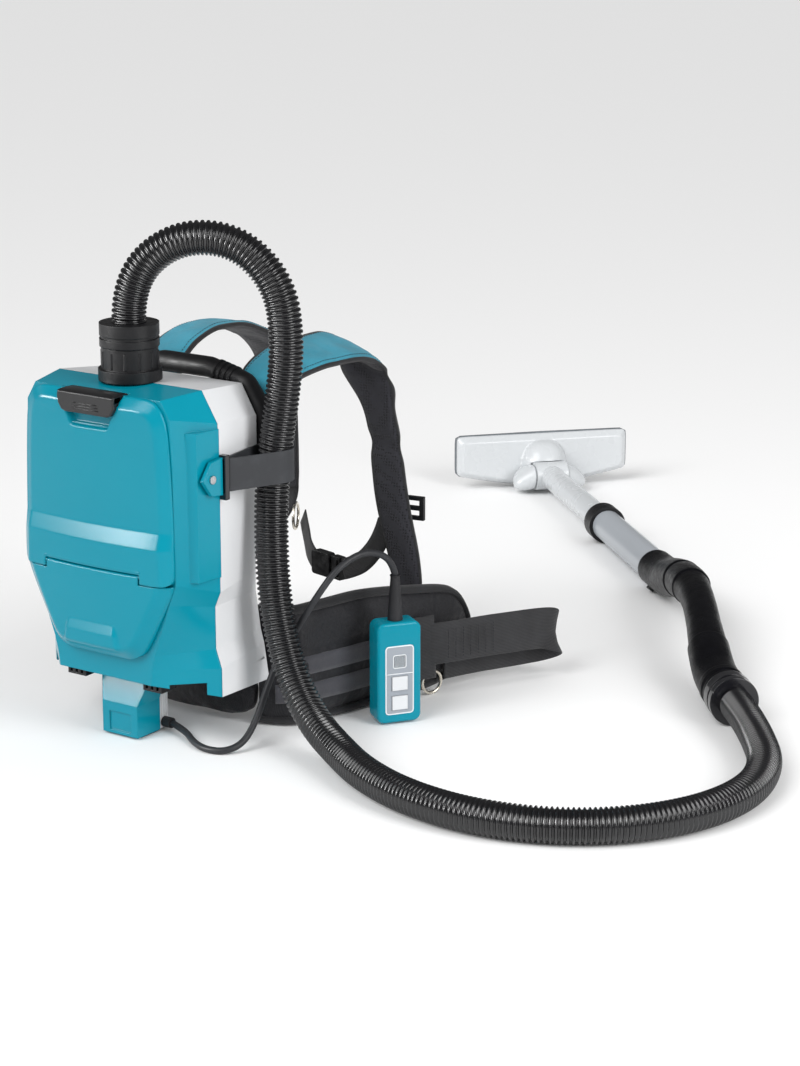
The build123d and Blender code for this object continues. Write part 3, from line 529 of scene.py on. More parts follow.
def make_hose():
    """Corrugated hose, with a smooth end at the wand."""
    line = curve_through(HOSE_ROUTE, 96)
    points, length = resample(line, RIB_PITCH / RIB_STEPS)

    def radius_at(gone):
        crest = math.tanh(1.8 * math.cos(2 * math.pi * gone / RIB_PITCH)) / math.tanh(1.8)
        calm = min(1.0, max(0.0, (length - gone - 0.004) / 0.004))
        return HOSE_D / 2 - RIB_HALF + RIB_HALF * crest * calm

    mesh = skin("hose", tube_rings(points, radius_at, 40))
    hose = add_piece("hose", mesh, ROOT, ["hose_rubber"], ["suction_hose"])


def make_cable():
    """Round flex from the foot of the post to the switch box."""
    data = nurbs_curve("cable", CABLE_ROUTE, 16)
    data.bevel_depth = CABLE_D / 2
    data.bevel_resolution = 6
    data.use_fill_caps = True
    cable = new_object("cable", data)
    data.materials.append(MATERIALS["cable_rubber"])
    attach(cable, ROOT)
    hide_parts("switch_cable")


# ---- harness ------------------------------------------------------------------------------
def squared(value, power):
    """A sine or cosine raised to a power with its sign kept, which squares a ring off."""
    return math.copysign(abs(value) ** power, value)


RIGHT_STRAP = [((47, 121, 322), (99, 117, 318)), ((46, 125, 358), (100, 119, 345)),
               ((48, 165, 380), (105, 152, 356)), ((50, 226, 383), (108, 200, 361)),
               ((48, 264, 380), (110, 262, 357)), ((44, 289, 366), (113, 294, 341)),
               ((51, 296, 334), (117, 303, 318)), ((76, 297, 300), (117, 303, 296)),
               ((82, 303, 266), (123, 306, 262)), ((89, 298, 232), (131, 302, 226)),
               ((99, 291, 196), (141, 298, 188)), ((113, 288, 154), (153, 294, 150)),
               ((124, 286, 120), (159, 292, 117)), ((132, 284, 92), (160, 289, 90))]
LEFT_STRAP = [((-24, 116, 322), (-82, 111, 318)), ((-24, 121, 362), (-84, 114, 352)),
              ((-24, 160, 386), (-86, 160, 377)), ((-24, 215, 389), (-88, 215, 382)),
              ((-26, 262, 375), (-90, 270, 371)), ((-28, 305, 352), (-92, 312, 348)),
              ((-34, 330, 318), (-92, 337, 314)), ((-42, 340, 270), (-88, 347, 266)),
              ((-46, 347, 220), (-86, 352, 216)), ((-50, 352, 178), (-84, 356, 174))]
STRAP_T = 0.0105
BELT_RIGHT = [((101, 93), (0, 130)), ((124, 104), (0, 131)), ((138, 140), (0, 132)), ((152, 192), (0, 132)),
              ((172, 256), (2, 124)), ((183, 306), (10, 112)), ((186, 342), (26, 86))]
BELT_T = 0.015
BELT_END = len(BELT_RIGHT) - 1.0        # place of the last station
WING_STEPS = 60


def spline_at(points, at):
    """Catmull-Rom point at a place along a list of points."""
    i = min(int(at), len(points) - 2)
    t = at - i
    p1, p2 = points[i], points[i + 1]
    p0 = points[i - 1] if i else p1 * 2 - p2
    p3 = points[i + 2] if i + 2 < len(points) else p2 * 2 - p1
    return ((p1 * 2) + (p2 - p0) * t + (p0 * 2 - p1 * 5 + p2 * 4 - p3) * t * t
            + (p1 * 3 - p0 - p2 * 3 + p3) * t ** 3) * 0.5


def strap_stations(edges, steps):
    """Middle, unit vector across, normal and half width at even steps along a strap, in metres."""
    inner = [Vector(a) / 1000 for a, b in edges]
    outer = [Vector(b) / 1000 for a, b in edges]
    count = steps * (len(edges) - 1)
    pairs = [(spline_at(inner, i / steps), spline_at(outer, i / steps)) for i in range(count + 1)]
    mids = [(a + b) / 2 for a, b in pairs]
    made = []
    for i, (a, b) in enumerate(pairs):
        across = (b - a).normalized()
        ahead = mids[min(i + 1, count)] - mids[max(i - 1, 0)]
        normal = across.cross(ahead).normalized()
        made.append((mids[i], across, normal, (b - a).length / 2))
    return made


def padded_strap(name, edges, face_sign, replaced, pinches=()):
    """Shoulder strap: foam between teal cloth and mesh lining, its edges bound with tape."""
    steps = 12                                  # stations to a span
    stations = strap_stations(edges, steps)
    half = 20                                   # points on each face
    seam = 0.86                                 # inner edge of the tape, as a share of the half width
    rings = []
    for i, (middle, across, normal, width) in enumerate(stations):
        end = min(1.0, 0.35 + 0.65 * math.sin(min(i, len(stations) - 1 - i, 6) / 6 * math.pi / 2))
        pinch = sum(math.exp(-((i / steps - at) / 0.28) ** 2) for at in pinches)
        end *= 1 - 0.75 * pinch
        width *= 1 - 0.12 * pinch
        ring = []
        for face in (1, -1):
            for j in range(half):
                u = face * (-1 + 2 * (j + 0.5) / half)
                body = (1 - abs(u) ** 3.2) ** 0.5
                tape = 0.0021 * (1 - max(0.0, abs(u) - 0.9) * 8)
                groove = 0.0012 * math.exp(-((abs(u) - seam) / 0.035) ** 2)
                thick = max(tape, STRAP_T / 2 * body * end) - groove
                place_at = middle + across * (width * u)
                wave = noise.noise(place_at * 45) * 0.0016 + noise.noise(place_at * 130) * 0.0005
                crease = wave * (1 - abs(u) ** 4)
                ring.append(place_at + normal * (face * thick + crease))
        rings.append(ring)

    def finish_of(i, j):
        u = abs(-1 + 2 * ((j % half) + 1) / half)
        if u > seam:
            return 1
        return 0 if (j < half) == (face_sign > 0) else 2

    mesh = skin(name, rings, finish_of)
    strap = add_piece(name, mesh, ROOT, ["teal_fabric", "binding", "spacer_mesh"], replaced)
    first = 0 if face_sign > 0 else half
    rows = [[ring[first + at] for ring in rings[1:-1]] for at in (2, half - 3)]
    stitches(name + "_stitches", rows, ROOT)
    return strap


def stitches(name, lines, body, pitch=0.0042, length=0.0028, radius=0.00042):
    """Short raised threads along lines, as one piece."""
    verts, faces = [], []
    sides = 5
    for line in lines:
        points = resample(line, pitch)[0]
        for a, b in zip(points, points[1:]):
            ahead = (b - a).normalized()
            side = ahead.orthogonal().normalized()
            up = ahead.cross(side)
            for part, size in ((0.0, 0.3), (0.2, 1.0), (0.8, 1.0), (1.0, 0.3)):
                centre = a + ahead * length * part
                for turn in turns(sides):
                    verts.append(centre + (side * math.cos(turn) + up * math.sin(turn)) * radius * size)
            for row in (4, 3, 2):
                base = len(verts) - row * sides
                for j in range(sides):
                    k = (j + 1) % sides
                    faces.append((base + j, base + k, base + sides + k, base + sides + j))
    mesh = bpy.data.meshes.new(name)
    mesh.from_pydata([tuple(v) for v in verts], [], faces)
    for face in mesh.polygons:
        face.use_smooth = True
    return add_piece(name, mesh, body, ["thread"])


def ribbon(name, points, wide, width, thickness, finish="webbing", replaced=()):
    """Flat webbing along a smooth line; wide is the direction across it."""
    line = resample(curve_through(points, 12), 0.003)[0]
    rings = []
    for i, point in enumerate(line):
        ahead = heading(line, i)
        across = Vector(wide)
        across = (across - ahead * across.dot(ahead)).normalized()
        normal = ahead.cross(across)
        ring = []
        for u, v in ((-1, -0.4), (-0.97, -1), (-0.5, -1), (0, -1), (0.5, -1), (0.97, -1), (1, -0.4),
                     (1, 0.4), (0.97, 1), (0.5, 1), (0, 1), (-0.5, 1), (-0.97, 1), (-1, 0.4)):
            wave = noise.noise(point * 30 + across * u * 0.4) * 0.0006
            ring.append(point + across * (u * width / 2) + normal * (v * thickness / 2 + wave))
        rings.append(ring)
    return add_piece(name, skin(name, rings), ROOT, [finish], replaced)


def swell(obj, voxel, cap, pressure=4.0):
    """Blow a closed mesh up with Cloth, no point moving further than cap."""
    remesh = obj.modifiers.new("remesh", "REMESH")
    remesh.mode = "VOXEL"
    remesh.voxel_size = voxel
    remesh.use_smooth_shade = True
    bake_modifiers(obj)
    start = [v.co.copy() for v in obj.data.vertices]
    cloth = obj.modifiers.new("cloth", "CLOTH")
    settings = cloth.settings
    settings.use_pressure = True
    settings.uniform_pressure_force = pressure
    settings.effector_weights.gravity = 0
    settings.tension_stiffness = 25
    settings.quality = 5
    frames = 20
    cloth.point_cache.frame_end = frames
    scene = bpy.context.scene
    for number in range(1, frames + 1):
        scene.frame_set(number)
    bake_modifiers(obj)
    scene.frame_set(1)
    for vertex, home in zip(obj.data.vertices, start):
        move = vertex.co - home
        if move.length > cap:
            vertex.co = home + move * (cap / move.length)
    obj.data.update()


def bake_modifiers(obj):
    """Apply every modifier of an object to its mesh."""
    seen = obj.evaluated_get(bpy.context.evaluated_depsgraph_get())
    mesh = bpy.data.meshes.new_from_object(seen)
    obj.modifiers.clear()
    obj.data = mesh
    for face in mesh.polygons:
        face.use_smooth = True


def finish_pad(obj, body, finish, replaced):
    """Turn a swollen mesh into a piece of the model, one step smoother."""
    obj.data.materials.clear()
    obj.data.materials.append(MATERIALS[finish])
    smoother = obj.modifiers.new("smoother", "SUBSURF")
    smoother.levels = smoother.render_levels = 1
    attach(obj, body)
    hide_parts(*replaced)


def belt_point(side, at, height, out=0.0):
    """Point on a wing's middle surface: at stations along, height 0 to 1 of its width."""
    plan = [Vector((side * x / 1000, y / 1000, 0)) for (x, y), _ in BELT_RIGHT]
    plan[0] = Vector((side * 0.088, 0.088, 0))      # starts inside the centre pad's edge
    margin = 0.0015
    lows = [Vector((0, 0, low / 1000 + margin)) for _, (low, high) in BELT_RIGHT]
    highs = [Vector((0, 0, high / 1000 - margin)) for _, (low, high) in BELT_RIGHT]
    middle = spline_at(plan, at)
    ahead = spline_at(plan, min(at + 0.02, len(plan) - 1)) - spline_at(plan, max(at - 0.02, 0))
    normal = Vector((ahead.y, -ahead.x, 0)).normalized() * side
    low, high = spline_at(lows, at), spline_at(highs, at)
    past = max(0.0, at - (len(plan) - 2.1)) / 1.1
    draw_in = 0.5 - 0.5 * math.sqrt(max(0.0, 1 - past ** 2.6))
    low, high = low.lerp(high, draw_in), high.lerp(low, draw_in)
    return middle + low.lerp(high, height) + normal * out


def make_wing(side, name, replaced):
    """Padded hip wing with sewn channels, taped edges and two satin loops along its face."""
    rings = []
    for i in range(WING_STEPS + 1):
        at = BELT_END * i / WING_STEPS
        pinch = min(1.0, 0.3 + min(i, (WING_STEPS - i) / 2) / 5)
        ring = []
        for turn in turns(36):
            height = 0.5 + 0.49 * squared(math.cos(turn), 0.35)
            out = BELT_T * 0.36 * pinch * squared(math.sin(turn), 0.6)
            ring.append(belt_point(side, at, height, out))
        rings.append(ring)
    obj = new_object(name, skin(name, rings))
    swell(obj, 0.005, 0.004)
    sew_channels(obj, side)
    finish_pad(obj, ROOT, "pad_fabric", replaced)
    bind_wing(side, name)
    for number, height in enumerate((0.50, 0.27)):
        line = [belt_point(side, 0.6 + 0.6 * i, height, 0.0088 + 0.0012 * (i % 2)) for i in range(7)]
        ribbon(f"{name}_loop_{number}", line, (0, 0, 1), 0.020, 0.0016, "satin_fabric")


def bind_wing(side, name):
    """Tape folded over a wing's long edges, and the stitches that hold it."""
    lines = []
    for height, label in ((0.965, "top"), (0.035, "bottom")):
        line = [belt_point(side, BELT_END * i / WING_STEPS, height) for i in range(WING_STEPS + 1)]
        tape_rings = []
        for i, point in enumerate(line):
            out = (belt_point(side, BELT_END * i / WING_STEPS, height, 0.01) - point).normalized()
            up = Vector((0, 0, 1 if height > 0.5 else -1))
            ring = []
            for u, v in ((0.0055, -0.8), (0.0058, 0), (0.005, 0.7), (0.0, 1), (-0.005, 0.7),
                         (-0.0058, 0), (-0.0055, -0.8)):
                ring.append(point + out * u * 1.05 + up * v * 0.0048)
            tape_rings.append(ring)
        tape = skin(f"{name}_tape_{label}", tape_rings)
        add_piece(tape.name, tape, ROOT, ["binding"])
        sewn = height + (-0.03 if height > 0.5 else 0.03)
        for out in (0.0064, -0.0064):
            lines.append([belt_point(side, BELT_END * i / WING_STEPS, sewn, out)
                          for i in range(2, WING_STEPS - 1)])
    stitches(name + "_stitches", lines, ROOT)


def sew_channels(obj, side):
    """Press sewn lines into a wing: two along it and a ladder of short ones behind."""
    steps = 120
    stations = [(belt_point(side, BELT_END * i / steps, 0.5), i / steps) for i in range(steps + 1)]
    for vertex in obj.data.vertices:
        co = vertex.co
        near, at = min(stations, key=lambda s: (s[0].x - co.x) ** 2 + (s[0].y - co.y) ** 2)
        low, high = belt_point(side, BELT_END * at, 0.0).z, belt_point(side, BELT_END * at, 1.0).z
        height = (co.z - low) / max(1e-6, high - low)
        out = Vector((co.x - near.x, co.y - near.y, 0))
        depth = 0.0
        for line in (0.30, 0.62):
            depth += math.exp(-((height - line) / 0.02) ** 2)
        for line in (0.16, 0.50, 0.74):
            depth += math.exp(-((at - line) / 0.008) ** 2)
        if out.length > 1e-5 and 0.06 < height < 0.94:
            pull = min(0.0032 * min(depth, 1.2), out.length * 0.6)
            vertex.co = co - out.normalized() * pull
        vertex.co.z = max(vertex.co.z, 0.001)
    obj.data.update()


def make_flat_pad(name, node_name, finish, channels, lean=0.0):
    """Rectangular pad in the space of its CAD node, with sewn lines across it."""
    low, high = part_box(node_name)
    thick = high.y - low.y - lean
    rings = []
    for i in range(41):
        z_share = i / 40
        ring = []
        round_off = min(1.0, (1 - abs(2 * z_share - 1) ** 8) ** 0.35 + 0.02)
        half = (high.x - low.x) * 0.485
        for turn in turns(48):
            x = 0.5 * (low.x + high.x) + half * round_off * squared(math.cos(turn), 0.3)
            y_mid = low.y + thick / 2 + lean * z_share
            y = y_mid + thick * 0.36 * round_off * squared(math.sin(turn), 0.55)
            ring.append(Vector((x, y, low.z + (high.z - low.z) * (0.01 + 0.98 * z_share))))
        rings.append(ring)
    obj = new_object(name, skin(name, rings))
    swell(obj, 0.005, 0.0035)
    for vertex in obj.data.vertices:
        co = vertex.co
        share = (co.z - low.z) / (high.z - low.z)
        middle = low.y + thick / 2 + lean * share
        depth = sum(math.exp(-((share - line) / 0.014) ** 2) for line in channels)
        vertex.co.y -= math.copysign(min(0.004 * depth, abs(co.y - middle) * 0.7), co.y - middle)
    finish_pad(obj, ROOT, finish, [node_name])
    return obj


def make_waist_webbing():
    """Waist webbing: right side folded back on itself below, with a wide tab and bar tacks; left side one
    tail.
    """
    right = [(0.186, 0.250, 0.060), (0.200, 0.264, 0.060), (0.221, 0.304, 0.061), (0.243, 0.342, 0.061),
             (0.2565, 0.365, 0.061), (0.2655, 0.384, 0.0590), (0.2640, 0.399, 0.0495),
             (0.2500, 0.400, 0.0380), (0.2340, 0.381, 0.0350), (0.2180, 0.350, 0.0350),
             (0.2040, 0.318, 0.0360), (0.1930, 0.284, 0.0370)]
    ribbon("waist_webbing_right", right, (0, 0, 1), 0.046, 0.0022, replaced=["waist_webbings"])
    left = [(-0.1760, 0.232, 0.059), (-0.1835, 0.258, 0.059), (-0.1930, 0.292, 0.059),
            (-0.2045, 0.334, 0.058), (-0.2140, 0.372, 0.055)]
    ribbon("waist_webbing_left", left, (0, 0, 1), 0.047, 0.0022)
    tab = [(0.1735, 0.222, 0.056), (0.1825, 0.244, 0.056), (0.1955, 0.262, 0.057)]
    ribbon("waist_webbing_tab", tab, (0, 0, 1), 0.070, 0.0030)
    lines = []
    for step in range(7):
        point = Vector((0.2060 + 0.0042 * step, 0.2705 + 0.0082 * step, 0))
        lines.append([point + Vector((0.0022, -0.001, 0.044)), point + Vector((0.0022, -0.001, 0.078))])
    stitches("waist_bartacks", lines, ROOT, 0.003, 0.0022, 0.0005)


def make_strap_tails():
    """Webbing from each shoulder strap down to the belt."""
    right = [(0.120, 0.304, 0.198), (0.122, 0.307, 0.176), (0.130, 0.306, 0.140), (0.141, 0.302, 0.096),
             (0.147, 0.300, 0.054)]
    ribbon("strap_tail_right", right, (1, 0.12, 0), 0.025, 0.0018, replaced=["strap_tails"])
    left = [(-0.0675, 0.357, 0.184), (-0.069, 0.362, 0.166), (-0.090, 0.359, 0.130), (-0.122, 0.350, 0.092),
            (-0.134, 0.343, 0.062)]
    ribbon("strap_tail_left", left, (1, 0.1, 0), 0.025, 0.0018)


def make_chest_webbings():
    """Chest strap webbing either side of its buckle."""
    right = [(0.042, 0.309, 0.106), (0.060, 0.305, 0.113), (0.080, 0.299, 0.125), (0.104, 0.293, 0.152),
             (0.112, 0.292, 0.174)]
    ribbon("chest_webbing_right", right, (-0.25, 0, 1), 0.0235, 0.0016, replaced=["chest_webbings"])
    left = [(-0.004, 0.321, 0.106), (-0.022, 0.334, 0.109), (-0.040, 0.354, 0.120), (-0.058, 0.371, 0.138)]
    ribbon("chest_webbing_left", left, (0.2, 0, 1), 0.0235, 0.0016)


# ---- lid, cover and latch -----------------------------------------------------------------
def half_planes(corners):
    """Edges of a convex outline, corners in turn anticlockwise: a point and an inward normal each."""
    edges = []
    for (x0, z0), (x1, z1) in zip(corners, corners[1:] + corners[:1]):
        length = math.hypot(x1 - x0, z1 - z0)
        edges.append(((x0, z0), (-(z1 - z0) / length, (x1 - x0) / length)))
    return edges


def inside(edges, x, z, softness):
    """Distance in from an outline whose corners are rounded off by softness."""
    gaps = [(x - p[0]) * n[0] + (z - p[1]) * n[1] for p, n in edges]
    least = min(gaps)
    return least - softness * math.log(sum(math.exp(-(g - least) / softness) for g in gaps))


def eased(value, low, high):
    """0 at low, 1 at high, turning smoothly; high may be the lower one."""
    t = min(1.0, max(0.0, (value - low) / (high - low)))
    return t * t * (3 - 2 * t)


def snapped(values, marks):
    """The values with the nearest one moved to each mark."""
    for mark in marks:
        nearest = min(range(len(values)), key=lambda i: abs(values[i] - mark))
        values[nearest] = mark
    return values


def panel_mesh(name, corners, softness, height, place_of, size=(120, 130), slopes=None, marks=((), ())):
    """Skin over a rounded outline in millimetres, with a skirt down to its base.

    height(x, z, depth) is how far it stands out, depth being the distance in from slopes, which is
    the outline too unless the panel's sides are upright somewhere.  size is its columns and rows,
    and marks the x and z that a column and a row have to lie on.
    """
    columns, rows = size
    edges = half_planes(corners)
    slopes = half_planes(slopes or corners)
    low = min(z for _, z in corners)
    high = max(z for _, z in corners)
    centre = (low + high) / 2
    top = reach(lambda z: inside(edges, 0, z, softness) > 0, centre, high + 5)
    bottom = reach(lambda z: inside(edges, 0, z, softness) > 0, centre, low - 5)
    levels = []
    for i in range(rows + 1):
        share = 0.5 + 0.35 * (2 * i / rows - 1) - 0.15 * math.cos(math.pi * i / rows)
        levels.append(min(top - 0.02, max(bottom + 0.02, bottom + (top - bottom) * share)))
    rings = []
    for z in snapped(levels, marks[1]):
        side = reach(lambda x: inside(edges, x, z, softness) > 0, 0, 400)
        across = [side * (0.6 * (2 * j / columns - 1) - 0.4 * math.cos(math.pi * j / columns))
                  for j in range(columns + 1)]
        row = []
        for x in snapped(across, [mark for mark in marks[0] if abs(mark) < side - 2]):
            depth = max(0.0, inside(slopes, x, z, softness))
            row.append((x, z, height(x, z, depth)))
        rings.append([(row[0][0], z, 0.0)] + row + [(row[-1][0], z, 0.0)])
    rings = [[(x, z, 0.0) for x, z, _ in rings[0]]] + rings + [[(x, z, 0.0) for x, z, _ in rings[-1]]]
    return skin(name, [[place_of(*point) for point in row] for row in rings], closed=False, caps=False)


def reach(test, near, far):
    """The furthest value that still passes a test, between two."""
    for _ in range(30):
        half = (near + far) / 2
        near, far = (half, far) if test(half) else (near, half)
    return near


def thicken(obj, thickness, offset=-1):
    """Give a skin its wall."""
    wall = obj.modifiers.new("wall", "SOLIDIFY")
    wall.thickness = thickness
    wall.offset = offset
    wall.use_even_offset = False


def front_place(x, z, out):
    """Point of a front panel, standing out from the housing's front plane."""
    return Vector((x, PANEL_BACK - out, z)) / 1000


def edge_rise(depth, rise, run):
    """Profile of a panel's side: upright wall, then a drafted slope with a rounded top edge."""
    wall, soft = 0.35, 0.25
    t = depth / run
    if t < 1 - soft:
        share = wall + (1 - wall) * t
    elif t < 1 + soft:
        share = wall + (1 - wall) * (t - (t - (1 - soft)) ** 2 / (4 * soft))
    else:
        share = 1.0
    return rise * min(share, 8 * t)


def rolled(gap, radius):
    """How far a rolled edge falls away, gap being the distance to the edge."""
    t = min(1.0, max(0.0, 1 - gap / radius))
    return radius * (1 - math.sqrt(1 - t * t))


PANEL_BACK = -45.6              # plane that the lid and the cover stand out from
SHELL_WALL = 0.0024
LATCH_HALF = 36.2               # half width of the latch
LATCH_BED = [(-27, 345.6), (27, 345.6), (LATCH_HALF, 354), (LATCH_HALF, 380), (-LATCH_HALF, 380),
             (-LATCH_HALF, 354)]
LATCH_EDGES = half_planes(LATCH_BED)
UPPER_LEVEL = 13.4              # how far the lid's upper face stands out, on its middle line
LEDGE = 5.0                     # step at the lid's ledge
COVER_LEVEL = 18.0              # how far the lower cover stands out, on its middle line
COVER_TOP = 189.5               # its top edge
CROWN = 1240                    # twice the radius of the panels' crown
HINGE_Z = 194.0                 # the lid's hinge axis
LID_EDGE = 189.9                # lower edge of the lid's middle, rolled about the hinge axis
EAR_AT = 60.0                   # half width of that middle; the lid's ears reach lower outside it
NOTCH_HALF = 36.6               # half width of the lid's notch for the latch
NOTCH_LOW = 357                 # its lower edge


def lid_height(x, z, depth):
    """Lid: crowned face, a ledge low down, and the finger recess under the latch."""
    level = UPPER_LEVEL + LEDGE * min(1.0, max(0.0, (235 - z) / 17)) - x * x / CROWN
    rise = edge_rise(depth, level, 11.0)
    recess = eased(abs(x), 30.5 - (347 - z) * 0.45, 27 - (347 - z) * 0.45) * eased(z, 331, 335.5) * 8.0
    bed = eased(inside(LATCH_EDGES, x, z, 0.8), 1.5, 3.5) * 10.0
    lip = rolled(z - LID_EDGE, HINGE_Z - LID_EDGE) if abs(x) < EAR_AT + 1 else 0.0
    return max(0.4, rise - max(recess, bed) - lip)


def make_lid():
    """Dust lid with its stepped lower corners."""
    corners = [(-96.5, 181.2), (96.5, 181.2), (95.5, 300), (91, 348), (76, 366.5),
               (-76, 366.5), (-91, 348), (-95.5, 300)]
    slopes = [(-98, 140), (98, 140)] + corners[2:]
    marks = (-EAR_AT, -NOTCH_HALF, NOTCH_HALF, EAR_AT), (LID_EDGE, NOTCH_LOW)
    mesh = panel_mesh("lid", corners, 4.5, lid_height, front_place, (150, 190), slopes, marks)
    doomed = []
    for face in mesh.polygons:
        x, z = abs(face.center.x) * 1000, face.center.z * 1000
        if (z < LID_EDGE and x < EAR_AT) or (z > NOTCH_LOW and x < NOTCH_HALF):
            doomed.append(face.index)
    trim(mesh, doomed)
    lid = add_piece("lid", mesh, "lid", ["teal_shell"], ["dust_lid"])
    thicken(lid, SHELL_WALL)


def make_latch_housing():
    """Wall behind the latch, inside the lid."""
    wall = []
    for y in (-0.0475, -0.0560):
        wall.append([Vector((x / 1000, y, z / 1000)) for x, z in
                     ((-40, 354), (-40, 333), (40, 333), (40, 354))])
    box = add_piece("lid_latch_housing", skin("lid_latch_housing", wall, closed=False, caps=False),
                    "lid", ["teal_shell"])
    thicken(box, 0.002)


def trim(mesh, doomed):
    """Remove faces by number, and the points that then hold nothing."""
    work = bmesh.new()
    work.from_mesh(mesh)
    work.faces.ensure_lookup_table()
    bmesh.ops.delete(work, geom=[work.faces[i] for i in doomed], context="FACES")
    work.to_mesh(mesh)
    work.free()


def cover_height(x, z, depth):
    """Lower cover: crowned, drafted to its sides, rolled at the lid, with a ledge of its own."""
    rise = edge_rise(depth, COVER_LEVEL - x * x / CROWN, 12.0)
    wide = 33 + (134 - z) * 0.2
    step = min(1.0, max(0.0, (134 - z) / 11))
    ledge = eased(abs(x + 1), wide, wide - 6) * step * eased(depth, 6, 16) * 3.4
    lip = rolled(COVER_TOP - z, 2.0) if abs(x) < EAR_AT else 0.0
    return max(0.3, rise + ledge - lip)


def make_cover():
    """Shield-shaped lower cover; its top corners make room for the lid's."""
    corners = [(-44, 97), (44, 97), (57, 105), (87, 160), (96, 181), (96, COVER_TOP), (-96, COVER_TOP),
               (-96, 181), (-87, 160), (-57, 105)]
    slopes = corners[:5] + [(99, 240), (-99, 240)] + corners[7:]
    inner, ear_low = EAR_AT - 0.6, 180.4
    mesh = panel_mesh("cover", corners, 2.2, cover_height, front_place, (150, 130), slopes,
                      ((-inner, inner), (ear_low,)))
    doomed = [f.index for f in mesh.polygons
              if f.center.z * 1000 > ear_low and abs(f.center.x) * 1000 > inner]
    trim(mesh, doomed)
    cover = add_piece("cover", mesh, ROOT, ["teal_shell"], ["lower_front_cover"])
    thicken(cover, SHELL_WALL)


def make_latch_skirt():
    """Rounded skirt in front of the latch lever."""
    front = [(-LATCH_HALF, 366.2), (-LATCH_HALF, 354), (-32, 347.5), (-27, 345.6), (27, 345.6), (32, 347.5),
             (LATCH_HALF, 354), (LATCH_HALF, 366.2)]
    rings = []
    for y, grow in ((-52.5, 0), (-61.3, 0), (-62.6, -0.5), (-63.2, -1.8), (-63.2, -4.5)):
        ring = []
        for x, z in front:
            scale = 1 + grow / LATCH_HALF
            height = 356 + (z - 356) * (1 + grow / 10.5 * 0.6)
            ring.append(Vector((x * scale, y + abs(x) * 0.012, height)) / 1000)
        rings.append(ring)
    mesh = skin("latch_skirt", rings)
    for face in mesh.polygons:
        face.use_smooth = False
    add_piece("latch_skirt", mesh, "latch", ["latch_plastic"], ["lid_latch"])


def make_latch_plate():
    """Plate over the top of the latch lever, with a finger groove."""
    top = []
    for y, drop in ((-62.4, 2.6), (-61.3, 1.0), (-59.4, 0.0), (-50, -0.3), (-40.5, 0.0), (-39.2, 0.8),
                    (-38.6, 2.6)):
        ring = []
        for u, v in ((-1, 0.25), (-0.985, 0.06), (-0.95, 0), (-0.5, 0), (0, 0), (0.5, 0), (0.95, 0),
                     (0.985, 0.06), (1, 0.25), (1, 1), (0, 1), (-1, 1)):
            ring.append(Vector((u * LATCH_HALF, y, 367.2 - drop - v * 7.0)) / 1000)
        top.append(ring)
    mesh = skin("latch_plate", top)
    add_piece("latch_plate", mesh, "latch", ["latch_plastic"])


def make_latch_ribs():
    """Three ribs across the skirt."""
    for row in range(3):
        z = 0.3505 + 0.0028 * row
        half = 0.017 - 0.0012 * row
        points = [Vector((x * half, -0.0630 + abs(x * half) * 0.012, z)) for x in (-1, -0.5, 0, 0.5, 1)]
        rib = skin(f"latch_rib_{row}", tube_rings(points, lambda gone: 0.0006, 8))
        add_piece(f"latch_rib_{row}", rib, "latch", ["latch_plastic"])


# ---- grip, wand and nozzle ----------------------------------------------------------------
HOSE_END = Vector((0.503, 0.360, 0.0265))
GRIP_AXIS = Vector((-0.024, 0.026, 0)).normalized()
GRIP_ROUTE = [HOSE_END + GRIP_AXIS * 0.0266, HOSE_END + GRIP_AXIS * 0.070, Vector((0.432, 0.440, 0.038)),
              Vector((0.392, 0.500, 0.052)), Vector((0.348, 0.566, 0.062)), Vector((0.300, 0.630, 0.058)),
              Vector((0.250, 0.690, 0.040)), WAND_START - WAND_DIR * 0.040, WAND_START + WAND_DIR * 0.008]


def make_grip():
    """Bent hand grip: ringed lower end, slim middle, stepped sleeve at the wand."""
    points, length = resample(curve_through(GRIP_ROUTE, 24), 0.0015)
    profile = [(0.000, 0.0245), (0.008, 0.0252), (0.010, 0.0232), (0.013, 0.0232), (0.015, 0.0250),
               (0.024, 0.0250), (0.026, 0.0240), (0.104, 0.0227), (0.1065, 0.0226), (0.108, 0.0211),
               (0.160, 0.0192), (0.215, 0.0188), (0.262, 0.0198), (0.283, 0.0210), (0.2845, 0.0226),
               (0.335, 0.0227), (0.3365, 0.0214), (0.341, 0.0214), (0.3425, 0.0236), (0.430, 0.0237),
               (length, 0.0230)]

    def radius_at(gone):
        for (a, ra), (b, rb) in zip(profile, profile[1:]):
            if gone <= b:
                return ra + (rb - ra) * (gone - a) / (b - a)
        return profile[-1][1]

    mesh = skin("grip", tube_rings(points, radius_at, 40, lambda gone: 0.97), caps="first")
    add_piece("grip", mesh, ROOT, ["grip_plastic"], ["grip_handle"])


NECK_AT = 0.478                 # along the wand, the axis that the nozzle swivels on
HOOD_AT = 0.499                 # where the nozzle's hood begins
HOOD_MID = 37                   # height of the hood's middle, in millimetres
HOOD_RISE = 12.0                # how far its wings stand out
NOZZLE_OUTLINE = [(-40, 2.9), (40, 2.9), (122, 19), (122, 74.5), (-122, 74.5), (-122, 19)]
NOZZLE_SOFT = 2.6               # how much the outline's corners are rounded off
BARREL_R, BARREL_HALF = 19.6, 23.5      # room that the hood leaves for the wand's barrel
BARREL_AT = 46.8                # how far out the barrel's axis lies


def nozzle_place(x, z, out):
    """Point of the nozzle's face: x across, z up from the floor, out towards the grip; millimetres."""
    return along_wand(HOOD_AT + 0.026 - out / 1000, x / 1000, z / 1000 - WAND_START.z)


